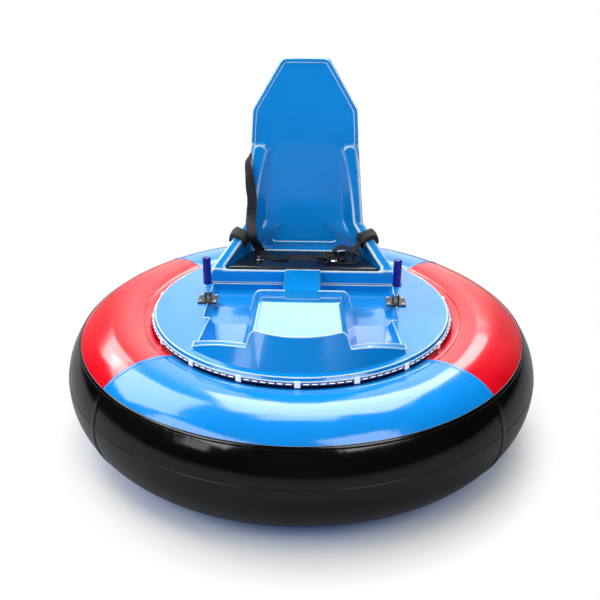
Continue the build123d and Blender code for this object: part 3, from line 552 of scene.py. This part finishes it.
def face_outwards(piece, inside_of):
    """Turns an open sheet's faces away from the nearest point that lies behind them."""
    close_spin()
    mesh = bmesh.from_edit_mesh(piece.data)
    mesh.faces.ensure_lookup_table()
    face = mesh.faces[len(mesh.faces) // 2]
    middle = face.calc_center_median()
    if face.normal.dot(middle - inside_of(middle)) < 0:
        bpy.ops.mesh.flip_normals()


def spun(name, outline, start_deg, end_deg, closed=False):
    """A profile of radius and height turned about the car's upright axis."""
    start = heading(start_deg)
    steps = round((end_deg - start_deg) / SPIN_STEP_DEG)
    piece = drawn(name, outline, closed, lambda point: start * point[0] + Vector((0.0, 0.0, point[1])))
    bpy.ops.mesh.spin(steps=steps, angle=radians(start_deg - end_deg), center=(0, 0, 0), axis=(0, 0, 1))

    def core(point):
        flat = Vector((point.x, point.y, 0.0)).normalized()
        middle = sum(radius for radius, _ in outline) / len(outline) if closed else TUBE_MID_R
        level = sum(height for _, height in outline) / len(outline) if closed else TUBE_MID_Z
        return flat * middle + Vector((0.0, 0.0, level))

    face_outwards(piece, core)
    leave()
    return piece


def seam_band(low, high, lift):
    """The section of a raised band between two angles of the skin, with its sides sunk into the skin."""
    share = (high - low) / 8
    return [oval_point(low + eighths * share, rise) for eighths, rise in (
        (0.0, -BAND_SINK), (0.3, 0.6 * lift), (1.0, lift), (4.0, lift), (7.0, lift), (7.7, 0.6 * lift),
        (8.0, -BAND_SINK))]


def seam_tape(name, outline, turn_deg, width, thickness):
    """A welded tape over a seam that runs round the section, of the same width all along."""
    across = heading(turn_deg + 90.0)
    start = heading(turn_deg)
    piece = drawn(name, outline, False, lambda point: start * point[0] - across * width / 2
                  + Vector((0.0, 0.0, point[1])))
    bpy.ops.mesh.extrude_region_move(TRANSFORM_OT_translate={"value": across * width})
    core = start * TUBE_MID_R + Vector((0.0, 0.0, TUBE_MID_Z))
    face_outwards(piece, lambda point: core)
    leave()
    whole = thickness + TAPE_SINK
    apply_modifier(piece, "SOLIDIFY", thickness=whole, offset=thickness / whole)
    soften_edges(piece, 0.45 * thickness, 2, 40.0)
    return piece


def smooth_way(stations, parts):
    """Points between stations on a smooth line; a station is a place and any directions."""
    made = []
    for i in range(len(stations) - 1):
        before, start, end, after = [stations[min(max(k, 0), len(stations) - 1)] for k in range(i - 1, i + 3)]
        is_last = i == len(stations) - 2
        for step in range(parts + 1 if is_last else parts):
            t = step / parts
            made.append([0.5 * ((2 * b) + (c - a) * t + (2 * a - 5 * b + 4 * c - d) * t**2
                                + (3 * b - a - 3 * c + d) * t**3)
                         for a, b, c, d in zip(before, start, end, after)])
    return made


def rim_across(way, i):
    """The direction across a rim in the plane of the seat back, for one of its points."""
    ahead = Vector(way[min(i + 1, len(way) - 1)]) - Vector(way[max(i - 1, 0)])
    return ahead.cross(BACK_NORMAL).normalized()


def strap(name, stations, width, thickness, parts=8, rim=False):
    """A band through stations of a place in millimetres and the direction across the band there.

    Webbing is flat; a rim is domed, and its sloped sides take the pale second finish, a painted highlight.
    """
    way = [(Vector(place) * MILLIMETRE, Vector(across).normalized()) for place, across in stations]
    way = smooth_way(way, parts)
    edge = RIM_SLOPE if rim else min(WEBBING_EDGE, thickness / 2)
    top = RIM_SHOULDER if rim else 0.5
    columns = ((-width / 2, 0.0), (-width / 2 + edge, top), (-width / 6, 0.5), (width / 6, 0.5),
               (width / 2 - edge, top), (width / 2, 0.0), (width / 2 - edge, -0.5), (width / 6, -0.5),
               (-width / 6, -0.5), (-width / 2 + edge, -0.5))
    sloped = (0, 4) if rim else ()
    mesh = bmesh.new()
    uv = mesh.loops.layers.uv.new("strap")
    rings, lengths = [], [0.0]
    for i, (place, across) in enumerate(way):
        tangent = (way[min(i + 1, len(way) - 1)][0] - way[max(i - 1, 0)][0]).normalized()
        across = (across - tangent * across.dot(tangent)).normalized()
        up = across.cross(tangent).normalized()
        rings.append([mesh.verts.new(place + across * x + up * y * thickness) for x, y in columns])
        if i:
            lengths.append(lengths[-1] + (place - way[i - 1][0]).length)
    for i in range(len(rings) - 1):
        for k in range(len(columns)):
            after = (k + 1) % len(columns)
            face = mesh.faces.new((rings[i][k], rings[i][after], rings[i + 1][after], rings[i + 1][k]))
            face.material_index = int(k in sloped)
            for loop, column, at in zip(face.loops, (k, after, after, k), (i, i, i + 1, i + 1)):
                loop[uv].uv = (columns[column][0], lengths[at])
    mesh.faces.new(rings[0][::-1])
    mesh.faces.new(rings[-1])
    bmesh.ops.recalc_face_normals(mesh, faces=mesh.faces)
    data = bpy.data.meshes.new(name)
    mesh.to_mesh(data)
    mesh.free()
    if rim:
        data.materials.append(None)
        data.materials.append(None)
    piece = bpy.data.objects.new(name, data)
    bpy.context.scene.collection.objects.link(piece)
    return piece


def block(name, size, place, turn, rounding, taper):
    """A moulded block in millimetres, drawn in towards its dished top, with rounded edges."""
    piece = primitive("cube", name, size=1.0)
    edit(piece)
    bpy.ops.transform.resize(value=[MILLIMETRE * side for side in size])
    choose(piece, "FACE", lambda face: face.normal.z > 0.9)
    bpy.ops.transform.resize(value=(taper, taper, 1.0))
    bpy.ops.mesh.inset(thickness=DISH_RIM * MILLIMETRE * min(size[0], size[1]), depth=-DISH_DEPTH)
    leave()
    soften_edges(piece, rounding, 4, 40.0)
    piece.rotation_euler = Euler([radians(angle) for angle in turn])
    piece.location = Vector(place) * MILLIMETRE
    return piece


def stuffed(piece, voxel, cap, pressure=4.0):
    """Remeshes a closed pad and lets air swell it, each point no further than the cap."""
    apply_modifier(piece, "REMESH", mode="VOXEL", voxel_size=voxel)
    before = [vertex.co.copy() for vertex in piece.data.vertices]
    select_only(piece)
    cloth = piece.modifiers.new("cloth", "CLOTH")
    cloth.settings.use_pressure = True
    cloth.settings.uniform_pressure_force = pressure
    cloth.settings.effector_weights.gravity = 0.0
    for step in range(1, SWELL_STEPS + 1):
        bpy.context.scene.frame_set(step)
    bpy.ops.object.modifier_apply(modifier="cloth")
    for vertex, start in zip(piece.data.vertices, before):
        move = vertex.co - start
        vertex.co = start + move * min(1.0, cap / max(move.length, 1e-9))
    bpy.context.scene.frame_set(1)
    apply_modifier(piece, "SMOOTH", factor=0.5, iterations=4)
    apply_modifier(piece, "SUBSURF", levels=1, render_levels=1)
    return piece


def add_camera():
    """The camera that took the photograph, as it was fitted to the ring's outlines."""
    camera = bpy.data.objects.new("camera", bpy.data.cameras.new("camera"))
    bpy.context.scene.collection.objects.link(camera)
    aim = Euler((pi / 2 - CAMERA_TILT, 0.0, CAMERA_TURN)).to_matrix() @ Matrix.Rotation(CAMERA_ROLL, 3, "Z")
    camera.matrix_world = Matrix.Translation(CAMERA_PLACE) @ aim.to_4x4()
    camera.data.lens = LENS
    camera.data.sensor_width = SENSOR
    camera.data.clip_end = VIEW_END
    bpy.context.scene.camera = camera


def add_floor():
    """A pale floor that keeps the shadow near the car and turns to plain white further off; in gloss it is
    painted dark, a painted shade in its reflections.
    """
    floor = primitive("plane", "floor", size=FLOOR_SIZE)
    material, shader, place = begin("floor", (0.86, 0.86, 0.87), 0.75)
    tree = material.node_tree
    far = add(material, "VectorMath", {0: place}, operation="LENGTH").outputs["Value"]
    dust = speckle(material, place, 30.0)
    rays = add(material, "LightPath")
    pale = tint(material, dust, (0.85, 0.85, 0.86), (0.88, 0.88, 0.88))
    # Seen in gloss the floor is painted dark: a painted shade in the car's reflections of it
    dim = add(material, "MixRGB", {"Fac": rays.outputs["Is Glossy Ray"], "Color1": pale,
                                   "Color2": (0.2, 0.2, 0.21, 1.0)})
    plug(tree, dim.outputs["Color"], shader.inputs["Base Color"])
    whiter = spread(material, far, 0.0, 1.0, SHADE_R, WHITE_R)
    share = figure(material, "MULTIPLY", whiter, rays.outputs["Is Camera Ray"])
    white = add(material, "Emission", {"Color": WHITE, "Strength": 1.0})
    both = add(material, "MixShader", {"Fac": share})
    tree.links.new(shader.outputs["BSDF"], both.inputs[1])
    tree.links.new(white.outputs["Emission"], both.inputs[2])
    tree.links.new(both.outputs["Shader"], tree.nodes["Material Output"].inputs["Surface"])
    floor.data.materials.append(material)


def add_softbox(name, bearing, rise, spans, radiance, glossy=True):
    """A rectangular studio lamp of that radiance, unseen by the camera, and by gloss where it is a fill.

    Its bearing is from straight behind the car, its rise from the floor, and its spans are half angles.
    """
    light = bpy.data.lights.new(name, "AREA")
    light.shape = "RECTANGLE"
    light.size, light.size_y = [2 * LAMP_DISTANCE * tan(radians(span)) for span in spans]
    light.energy = radiance * pi * light.size * light.size_y
    lamp = bpy.data.objects.new(name, light)
    level = cos(radians(rise))
    away = Vector((sin(radians(bearing)) * level, cos(radians(bearing)) * level, sin(radians(rise))))
    lamp.location = LAMP_AIM + away * LAMP_DISTANCE
    lamp.rotation_euler = away.to_track_quat("Z", "Y").to_euler()
    lamp.visible_camera = False
    lamp.visible_glossy = glossy
    bpy.context.scene.collection.objects.link(lamp)


def add_world():
    """White to the camera; for light and gloss a studio that is bright behind and dim in front."""
    world = bpy.data.worlds.new("studio")
    world.use_nodes = True
    tree = world.node_tree
    away = add(world, "TexCoord").outputs["Generated"]
    axes = add(world, "SeparateXYZ", {"Vector": away})
    sideways = figure(world, "ABSOLUTE", axes.outputs["X"])
    behind = spread(world, axes.outputs["Y"], low=0.04, high=1.4, start=0.5, end=0.9)
    straight = spread(world, sideways, low=1.0, high=0.22, start=0.15, end=0.42)
    level = spread(world, axes.outputs["Z"], low=1.0, high=0.1, start=0.5, end=0.7)
    strength = figure(world, "MULTIPLY", behind, figure(world, "MULTIPLY", level, straight))
    background = tree.nodes["Background"]
    background.inputs["Color"].default_value = WHITE
    plug(tree, strength, background.inputs["Strength"])
    seen = add(world, "Background", {"Color": WHITE, "Strength": 1.0})
    rays = add(world, "LightPath")
    pick = add(world, "MixShader", {"Fac": rays.outputs["Is Camera Ray"]})
    tree.links.new(background.outputs["Background"], pick.inputs[1])
    tree.links.new(seen.outputs["Background"], pick.inputs[2])
    tree.links.new(pick.outputs["Shader"], tree.nodes["World Output"].inputs["Surface"])
    bpy.context.scene.world = world


add_camera()
add_floor()
add_world()
# Each lamp by its name, bearing, rise, spans and radiance
for name, bearing, rise, spans, radiance in (
        ("rear box", 5.0, 51.0, (15.5, 14.0), 7.0),
        ("left box", -60.0, 46.0, (20.0, 13.0), 5.0),
        ("left front box", -125.0, 41.0, (20.0, 11.0), 4.0),
        ("right front box", 143.0, 48.0, (13.0, 15.0), 4.0),
        ("high box", -3.0, 69.0, (8.0, 4.0), 5.0),
        ("low left box", -38.0, 31.0, (8.0, 4.0), 5.0),
        ("low right box", 21.0, 32.0, (5.0, 5.0), 5.0),
        ("low front box", -134.0, 23.0, (6.0, 5.0), 2.2)):
    add_softbox(name, bearing, rise, spans, radiance)
add_softbox("front fill", 180.0, 35.0, (30.0, 20.0), 0.35, glossy=False)
add_softbox("top fill", 0.0, 89.0, (30.0, 30.0), 0.5, glossy=False)
bpy.context.scene.view_settings.view_transform = "Standard"

# Moulded finishes give their roughness from and to, patch and grain scales, grain depth and change of tone
finishes = {
    "vinyl_blue": ring_vinyl("vinyl_blue", (0.004, 0.27, 0.8), 0.08, Coat_Weight=0.4),
    "vinyl_red": ring_vinyl("vinyl_red", (0.76, 0.004, 0.015), 0.08, Coat_Weight=0.4),
    "vinyl_black": ring_vinyl("vinyl_black", (0.002, 0.0022, 0.0026), 0.3, Coat_Weight=0.3),
    # The pale edge colour and the pale edge finish are painted highlights along edges, ridges and the sides
    # of rims
    "fibreglass_blue": gel_coat("fibreglass_blue", (0.002, 0.285, 0.8), (0.74, 0.94, 1.0)),
    "fibreglass_blue_edge": gel_coat("fibreglass_blue_edge", (0.68, 0.9, 1.0)),
    "seat_vinyl": upholstery("seat_vinyl", (0.008, 0.011, 0.022)),
    "webbing": woven("webbing", (0.012, 0.012, 0.013), True),
    "wrap_webbing": woven("wrap_webbing", (0.011, 0.011, 0.012), False),
    "buckle_plastic": moulded("buckle_plastic", (0.012, 0.012, 0.013), (0.2, 0.34), 30.0, 700.0, 0.00005,
                              0.25),
    "light_strip": lit_strip("light_strip"),
    "lamp_lens": lamp_lens("lamp_lens"),
    "circuit_mark": moulded("circuit_mark", (0.03, 0.03, 0.06), (0.3, 0.5), 90.0, 500.0, 0.00005),
    # The clips are painted with a faint glow that makes them brighter, though they are no lamps
    "clip_plastic": moulded("clip_plastic", (0.86, 0.86, 0.9), (0.25, 0.4), 40.0, 500.0, 0.00003, 0.05,
                            Emission_Color=(0.9, 0.9, 1.0, 1.0), Emission_Strength=0.4),
    "frame_paint": moulded("frame_paint", (0.02, 0.02, 0.022), (0.3, 0.5), 22.0, 900.0, 0.0001, 0.3),
    "motor_paint": moulded("motor_paint", (0.08, 0.08, 0.085), (0.32, 0.5), 25.0, 500.0, 0.0001, 0.2),
    "lever_chrome": moulded("lever_chrome", (0.8, 0.81, 0.83), (0.07, 0.16), 30.0, 200.0, 0.00002, 0.06,
                            (1.0, 1.0, 12.0), Metallic=1.0),
    "lever_grip": moulded("lever_grip", (0.005, 0.007, 0.26), (0.2, 0.3), 20.0, 260.0, 0.00003, 0.08,
                          Coat_Weight=0.2),
    "wheel_alloy": moulded("wheel_alloy", (0.72, 0.73, 0.75), (0.28, 0.42), 30.0, 350.0, 0.0001, 0.1,
                           Metallic=1.0),
    "wheel_tyre": moulded("wheel_tyre", (0.028, 0.028, 0.03), (0.6, 0.85), 14.0, 420.0, 0.0003, 0.35),
    "caster_zinc": spangled("caster_zinc", (0.62, 0.63, 0.64)),
    "caster_tread": moulded("caster_tread", (0.1, 0.1, 0.105), (0.5, 0.75), 18.0, 380.0, 0.0002, 0.25),
    "battery_case": moulded("battery_case", (0.045, 0.045, 0.05), (0.4, 0.6), 15.0, 600.0, 0.0002, 0.2),
    "valve_plastic": moulded("valve_plastic", (0.025, 0.025, 0.027), (0.3, 0.5), 40.0, 600.0, 0.0001, 0.2),
}
for part in frame["record"]["subparts"]:
    node = frame["nodes"][part["node"]]
    node.data.materials.clear()
    node.data.materials.append(finishes[part["material_slot"]])

# Inflated ring: four top covers with a crease, casings, an underside, and tapes and bands over the seams
CREASE_LINE = [oval_point(CREASE + turn_deg, -depth) for turn_deg, depth in (
    (-2.4, 0.0), (-1.1, 0.0006), (-0.5, 0.002), (0.0, 0.003), (0.5, 0.002), (1.1, 0.0006), (2.4, 0.0))]
COVER_LINE = (skin_line(TOP_SEAM, CREASE_START, 24) + CREASE_LINE
              + skin_line(CREASE_END, INNER_EDGE, 30))
CASING_LINE = skin_line(UNDER_SEAM, TOP_SEAM, 42)
COVER_TAPE_LINE = skin_line(TOP_SEAM - 0.6, INNER_EDGE - 2.0, 60)
CASING_TAPE_LINE = skin_line(UNDER_SEAM, TOP_SEAM - 1.0, 48)
for place, start, end, finish in (
        ("front", -FRONT_SEAM, FRONT_SEAM, "vinyl_blue"),
        ("right", FRONT_SEAM, REAR_SEAM, "vinyl_red"),
        ("rear", REAR_SEAM, 360.0 - REAR_SEAM, "vinyl_blue"),
        ("left", -REAR_SEAM, -FRONT_SEAM, "vinyl_red")):
    cover = spun(f"ring_cover_{place}", COVER_LINE, start, end)
    apply_modifier(cover, "SOLIDIFY", thickness=SKIN, offset=-1.0)
    done(cover, finish, replaces=[f"tube_panel_{place}"], smooth=50.0)
    casing = spun(f"ring_casing_{place}", CASING_LINE, start, end)
    apply_modifier(casing, "SOLIDIFY", thickness=SKIN, offset=-1.0)
    done(casing, "vinyl_black", replaces=[f"tube_casing_{place}"], smooth=50.0)
    tape = seam_tape(f"cover_seam_{place}", COVER_TAPE_LINE, start, COVER_TAPE_WIDTH, COVER_TAPE)
    done(tape, "vinyl_blue", smooth=50.0)
    tape = seam_tape(f"casing_seam_{place}", CASING_TAPE_LINE, start, CASING_TAPE_WIDTH, CASING_TAPE)
    done(tape, "vinyl_black", smooth=50.0)

underside = spun("ring_underside", skin_line(INNER_EDGE, 360.0 + UNDER_SEAM, 44), 0.0, 360.0)
apply_modifier(underside, "SOLIDIFY", thickness=SKIN, offset=-1.0)
done(underside, "vinyl_blue", replaces=["tube_underside"], smooth=50.0)

# Bands that run right round the ring, each by its lower and upper angle and how far it stands out
for name, low, high, lift, finish in (
        ("rub_strip", TOP_SEAM - 4.6, TOP_SEAM + 0.5, 0.0024, "vinyl_black"),
        ("lap_seam", LAP_SEAM - 2.4, LAP_SEAM + 2.4, 0.0007, "vinyl_black"),
        ("under_seam", UNDER_SEAM - 1.6, UNDER_SEAM + 11.0, 0.0014, "vinyl_blue")):
    band = spun(name, seam_band(low, high, lift), 0.0, 360.0, closed=True)
    done(band, finish, smooth=50.0)

# Deck and seat mouldings, with the mould's rounded edges; the deck's edge rolls and the seat's sharper ridges
# are painted pale as highlights
rolls = edge_rolls("deck", "deck_edge_rolls", EDGE_ROLL_R, sharp_upper_edge)
done(rolls, "fibreglass_blue_edge", smooth=60.0)
shell = merged_copy("seat_shell", "seat_moulding", flat=False)
apply_modifier(shell, "REMESH", mode="VOXEL", voxel_size=SHELL_VOXEL)
for vertex in shell.data.vertices:
    # The tops of the wings become rounded thumbs
    x, y, z = vertex.co
    if abs(x) > WING_INNER and y < WING_BACK and z > THUMB_FOOT:
        share = min(1.0, (z - THUMB_FOOT) / THUMB_RISE)
        vertex.co.z -= THUMB_DROP * share * ((abs(x) - WING_MIDDLE) / THUMB_REACH)**2
apply_modifier(shell, "SMOOTH", factor=0.5, iterations=14)
# The seat's ridges are marked, and the gel coat paints a highlight along them
mark_painted_highlights(shell, 7.0, 14.0)
done(shell, "fibreglass_blue", replaces=["seat_shell"], smooth=60.0)

# Rolled rims round the front of the seat back and across its foot, with sides painted pale as a highlight
rim_way = [(side * x, y, z) for side, part in ((-1, RIM_LINE), (1, RIM_LINE[::-1])) for x, y, z in part]
rim_stations = [(place, rim_across(rim_way, i)) for i, place in enumerate(rim_way)]
foot_stations = []
for x in (150, 140, 125, 75, 0, -75, -125, -140, -150):
    bend = max(0.0, (abs(x) - FOOT_STRAIGHT) / FOOT_BEND)
    foot_stations.append(((x, FOOT_Y, FOOT_Z + FOOT_LIFT * bend**2), (0.0, 0.1, 1.0)))
for name, stations, width in (("seat_rim", rim_stations, SEAT_RIM_WIDTH),
                              ("seat_foot_rim", foot_stations, FOOT_RIM_WIDTH)):
    done(strap(name, stations, width, RIM_THICKNESS, 6, rim=True), "fibreglass_blue", smooth=60.0)

# Light strip: lamps and circuit marks between the clips
lamp = primitive("uv_sphere", "lamp", segments=12, ring_count=6, radius=LAMP_R)
bpy.ops.transform.resize(value=LAMP_STRETCH)
bpy.ops.object.transform_apply(scale=True)
mark = primitive("cube", "mark", size=1.0)
bpy.ops.transform.resize(value=MARK_SIZE)
bpy.ops.object.transform_apply(scale=True)
soften_edges(mark, 0.0003, 2)
pitch = 360.0 / CLIPS / LAMPS_BETWEEN
lamp_turns = [i * pitch for i in range(CLIPS * LAMPS_BETWEEN) if i % LAMPS_BETWEEN]
mark_turns = [(i + 0.5) * pitch for i in range(CLIPS * LAMPS_BETWEEN)]
done(twins(lamp, "strip_lamps", strip_places(lamp_turns)), "lamp_lens")
done(twins(mark, "strip_marks", strip_places(mark_turns)), "circuit_mark")
clips = merged_copy("led_clips", "strip_clips")
for vertex in clips.data.vertices:
    # Each clip is drawn out along the strip and up and down
    x, y, z = vertex.co
    turn = degrees(atan2(x, -y))
    middle = round(turn * CLIPS / 360) * 360 / CLIPS
    side = heading(middle + CLIP_WIDER * (turn - middle)) * (x * x + y * y)**0.5
    vertex.co = (side.x, side.y, STRIP_MIDDLE + CLIP_HIGHER * (z - STRIP_MIDDLE))
soften_edges(clips, 0.0008, 2, 60.0, crisp=True)
done(clips, "clip_plastic", replaces=["led_clips"], smooth=0.0)

# Hand levers: bolts on the plates, and grips with a rolled foot and a domed end, by radius and height
GRIP_LINE = [(0.0075, 0.5645), (0.0150, 0.5640), (0.0174, 0.5655), (0.0179, 0.5690), (0.0168, 0.5720),
             (0.0166, 0.6000), (0.0169, 0.6400), (0.0171, 0.6660), (0.0158, 0.6672), (0.0158, 0.6690),
             (0.0172, 0.6702), (0.0171, 0.6760), (0.0150, 0.6795), (0.0110, 0.6815), (0.0, 0.6820)]
for place, side in SIDES.items():
    x = side * LEVER_X
    base = merged_copy(f"lever_base_{place}", f"lever_plate_{place}")
    soften_edges(base, 0.0008, 2, 60.0, crisp=True)
    done(base, "frame_paint", replaces=[f"lever_base_{place}"], smooth=0.0)
    head = primitive("cylinder", "head", vertices=6, radius=BOLT_R, depth=BOLT_HEIGHT,
                     location=(0, 0, 0.8 * BOLT_HEIGHT))
    soften_edges(head, 0.0008, 2)
    washer = primitive("cylinder", "washer", vertices=24, radius=WASHER_R, depth=WASHER_THICKNESS,
                       location=(0, 0, WASHER_THICKNESS / 2))
    soften_edges(washer, 0.0004, 1)
    select_only(head, washer)
    bpy.ops.object.join()
    bpy.ops.object.transform_apply(location=True)
    bolts = twins(head, f"plate_bolts_{place}", [
        ((x + dx * BOLT_SPACING, LEVER_Y + dy * BOLT_SPACING, PLATE_TOP),
         Euler((0.0, 0.0, 0.4 * dx + 0.7 * dy))) for dx in (-1, 1) for dy in (-1, 1)])
    done(bolts, "caster_zinc")
    grip = drawn(f"grip_{place}", GRIP_LINE, False, upright)
    bpy.ops.mesh.spin(steps=36, angle=2 * pi, center=(0, 0, 0), axis=(0, 0, 1))
    face_outwards(grip, lambda point: Vector((0.0, 0.0, point.z)))
    leave()
    grip.location = (x, LEVER_Y, 0.0)
    apply_modifier(grip, "SUBSURF", levels=1, render_levels=1)
    done(grip, "lever_grip", body=f"lever_{place}", replaces=[f"lever_grip_{place}"], smooth=60.0)

# Drive tyres with grooves round the tread, by offset from the tyre's middle and radius
SIDE_WALL = [(-0.020, 0.0705), (-0.023, 0.076), (-0.023, 0.091), (-0.021, 0.097), (-0.017, TREAD_R)]
TYRE_LINE = list(SIDE_WALL)
for groove in (-GROOVE_PITCH, 0.0, GROOVE_PITCH):
    TYRE_LINE += [(groove - 0.002, TREAD_R), (groove - 0.0014, GROOVE_FLOOR_R),
                  (groove + 0.0014, GROOVE_FLOOR_R), (groove + 0.002, TREAD_R)]
TYRE_LINE += [(-offset, radius) for offset, radius in SIDE_WALL[::-1]]
for place, side in SIDES.items():
    tyre = drawn(f"tyre_{place}", TYRE_LINE, True, upright)
    bpy.ops.mesh.spin(steps=72, angle=2 * pi, center=(0, 0, 0), axis=(1, 0, 0))
    close_spin()
    leave()
    tyre.location = (side * WHEEL_X, 0.0, WHEEL_Z)
    done(tyre, "wheel_tyre", body=f"drive_wheel_{place}", replaces=[f"drive_tyre_{place}"], smooth=40.0)

# Seat cushion and the padded wraps on the arms
cushion = merged_copy("seat_cushion", "cushion")
edit(cushion)
bpy.ops.transform.resize(value=CUSHION_DRAWN_IN)
leave()
stuffed(cushion, voxel=0.005, cap=0.0015)
done(cushion, "seat_vinyl", replaces=["seat_cushion"], smooth=80.0)
for place in SIDES:
    wrap = merged_copy(f"belt_wrap_{place}", f"arm_wrap_{place}")
    stuffed(wrap, voxel=0.0035, cap=0.009, pressure=12.0)
    done(wrap, "wrap_webbing", replaces=[f"belt_wrap_{place}"], smooth=80.0)

# Seat belt: three straps, each by its name, the CAD node that it stands for, and its stations
for name, node, stations in (
        ("shoulder_strap", "belt_shoulder", (
            ((-196, 400, 565), (1, 0.1, 0)), ((-214, 372, 610), (1, 0, 0)), ((-223, 342, 640), (1, 0, 0)),
            ((-226, 336, 672), (1, 0, 0)), ((-236, 386, 704), (1, 0, 0)), ((-236, 424, 725), (1, 0, 0)),
            ((-232, 440, 791), (1, 0, 0)), ((-238, 451, 840), (1, 0, 0)), ((-244, 458, 900), (0.87, -0.5, 0)),
            ((-253, 484, 950), (0.5, -0.87, 0)), ((-244.2, 508, 980), (0, -1, 0)))),
        ("lap_strap", "belt_lap", (
            ((-204, 409, 562.5), (0.78, 0.63, 0)), ((-172, 369, 562.5), (0.78, 0.63, 0)),
            ((-140, 330, 562.5), (0.3, 0.95, 0)), ((-92, 318, 563.5), (0, 1, 0.1)),
            ((-50, 316, 564), (0, 1, 0.4)), ((10, 316, 564), (0, 1, 0.5)), ((62, 316, 566), (0, 1, 0.2)))),
        ("tail_strap", "belt_tail", (
            ((176, 298, 594), (0, 1, 0.2)), ((196, 304, 602), (0, 1, 0.1)), ((214, 312, 612), (0, 1, 0.1)),
            ((232, 322, 620), (0, 1, 0.2)), ((247, 330, 640), (0, 1, 0.2))))):
    webbing = strap(name, stations, WEBBING_WIDTH, WEBBING_THICKNESS)
    done(webbing, "webbing", replaces=[node], smooth=50.0)
tongue = merged_copy("belt_tongue", "latch_tongue")
soften_edges(tongue, 0.0012, 3, 50.0)
done(tongue, "buckle_plastic", replaces=["belt_tongue"])

# Buckle: each block by its size and place in millimetres, turn in degrees, rounding, taper and finish
for name, size, place, turn, rounding, taper, finish, nodes in (
        ("buckle_body", (72, 52, 24), (120, 298, 584), (30, -5, 6), 0.005, 0.8, "buckle_plastic",
         ["belt_buckle"]),
        ("release_button", (34, 34, 9), (121, 291, 595), (30, -5, 6), 0.002, 0.85, "buckle_plastic", ()),
        ("buckle_end", (34, 56, 18), (172, 296, 586), (26, -14, -8), 0.004, 0.85, "buckle_plastic", ()),
        ("buckle_slot", (26, 10, 6), (135, 268, 576), (60, 0, 4), 0.001, 0.95, "lever_chrome", ())):
    done(block(name, size, place, turn, rounding, taper), finish, replaces=nodes, smooth=60.0)
latch = primitive("torus", "latch_loop", major_segments=40, minor_segments=14, major_radius=0.019,
                  minor_radius=0.0046, rotation=(radians(-28), radians(14), 0),
                  location=(0.078, 0.286, 0.5785))
bpy.ops.transform.resize(value=(1.0, 1.25, 1.0))
done(latch, "buckle_plastic", smooth=80.0)
link = primitive("torus", "latch_link", major_segments=40, minor_segments=14, major_radius=0.012,
                 minor_radius=0.0036, rotation=(radians(40), radians(-35), 0),
                 location=(0.099, 0.276, 0.574))
done(link, "buckle_plastic", smooth=80.0)

# Adjuster on the lap strap, and two folds of spare webbing over the buckle
for name, size, place, rounding, finish in (
        ("adjuster", (30, 34, 5), (-190, 306, 564), 0.0015, "buckle_plastic"),
        ("adjuster_bar_upper", (34, 6, 5), (-190, 324, 567), 0.0018, "lever_chrome"),
        ("adjuster_bar_lower", (34, 6, 5), (-190, 288, 565), 0.0018, "lever_chrome")):
    done(block(name, size, place, (0, 0, -6), rounding, 0.9), finish, smooth=60.0)
for name, stations in (
        ("fold_upper", (
            ((128, 310, 600), (0, 1, 0.2)), ((148, 306, 618), (0, 1, 0.2)), ((172, 301, 626), (0.1, 1, 0.2)),
            ((200, 295, 617), (0.2, 1, 0.1)), ((221, 289, 596), (0.3, 1, 0)),
            ((212, 284, 574), (0.3, 1, 0)))),
        ("fold_lower", (
            ((146, 286, 566), (0.2, 1, 0)), ((188, 276, 567), (0.3, 1, 0.1)),
            ((228, 270, 574), (0.4, 1, 0.2)), ((248, 276, 594), (0.4, 1, 0.2)),
            ((232, 290, 611), (0.3, 1, 0.1)), ((200, 300, 608), (0.2, 1, 0))))):
    done(strap(name, stations, FOLD_WIDTH, WEBBING_THICKNESS), "webbing", smooth=50.0)
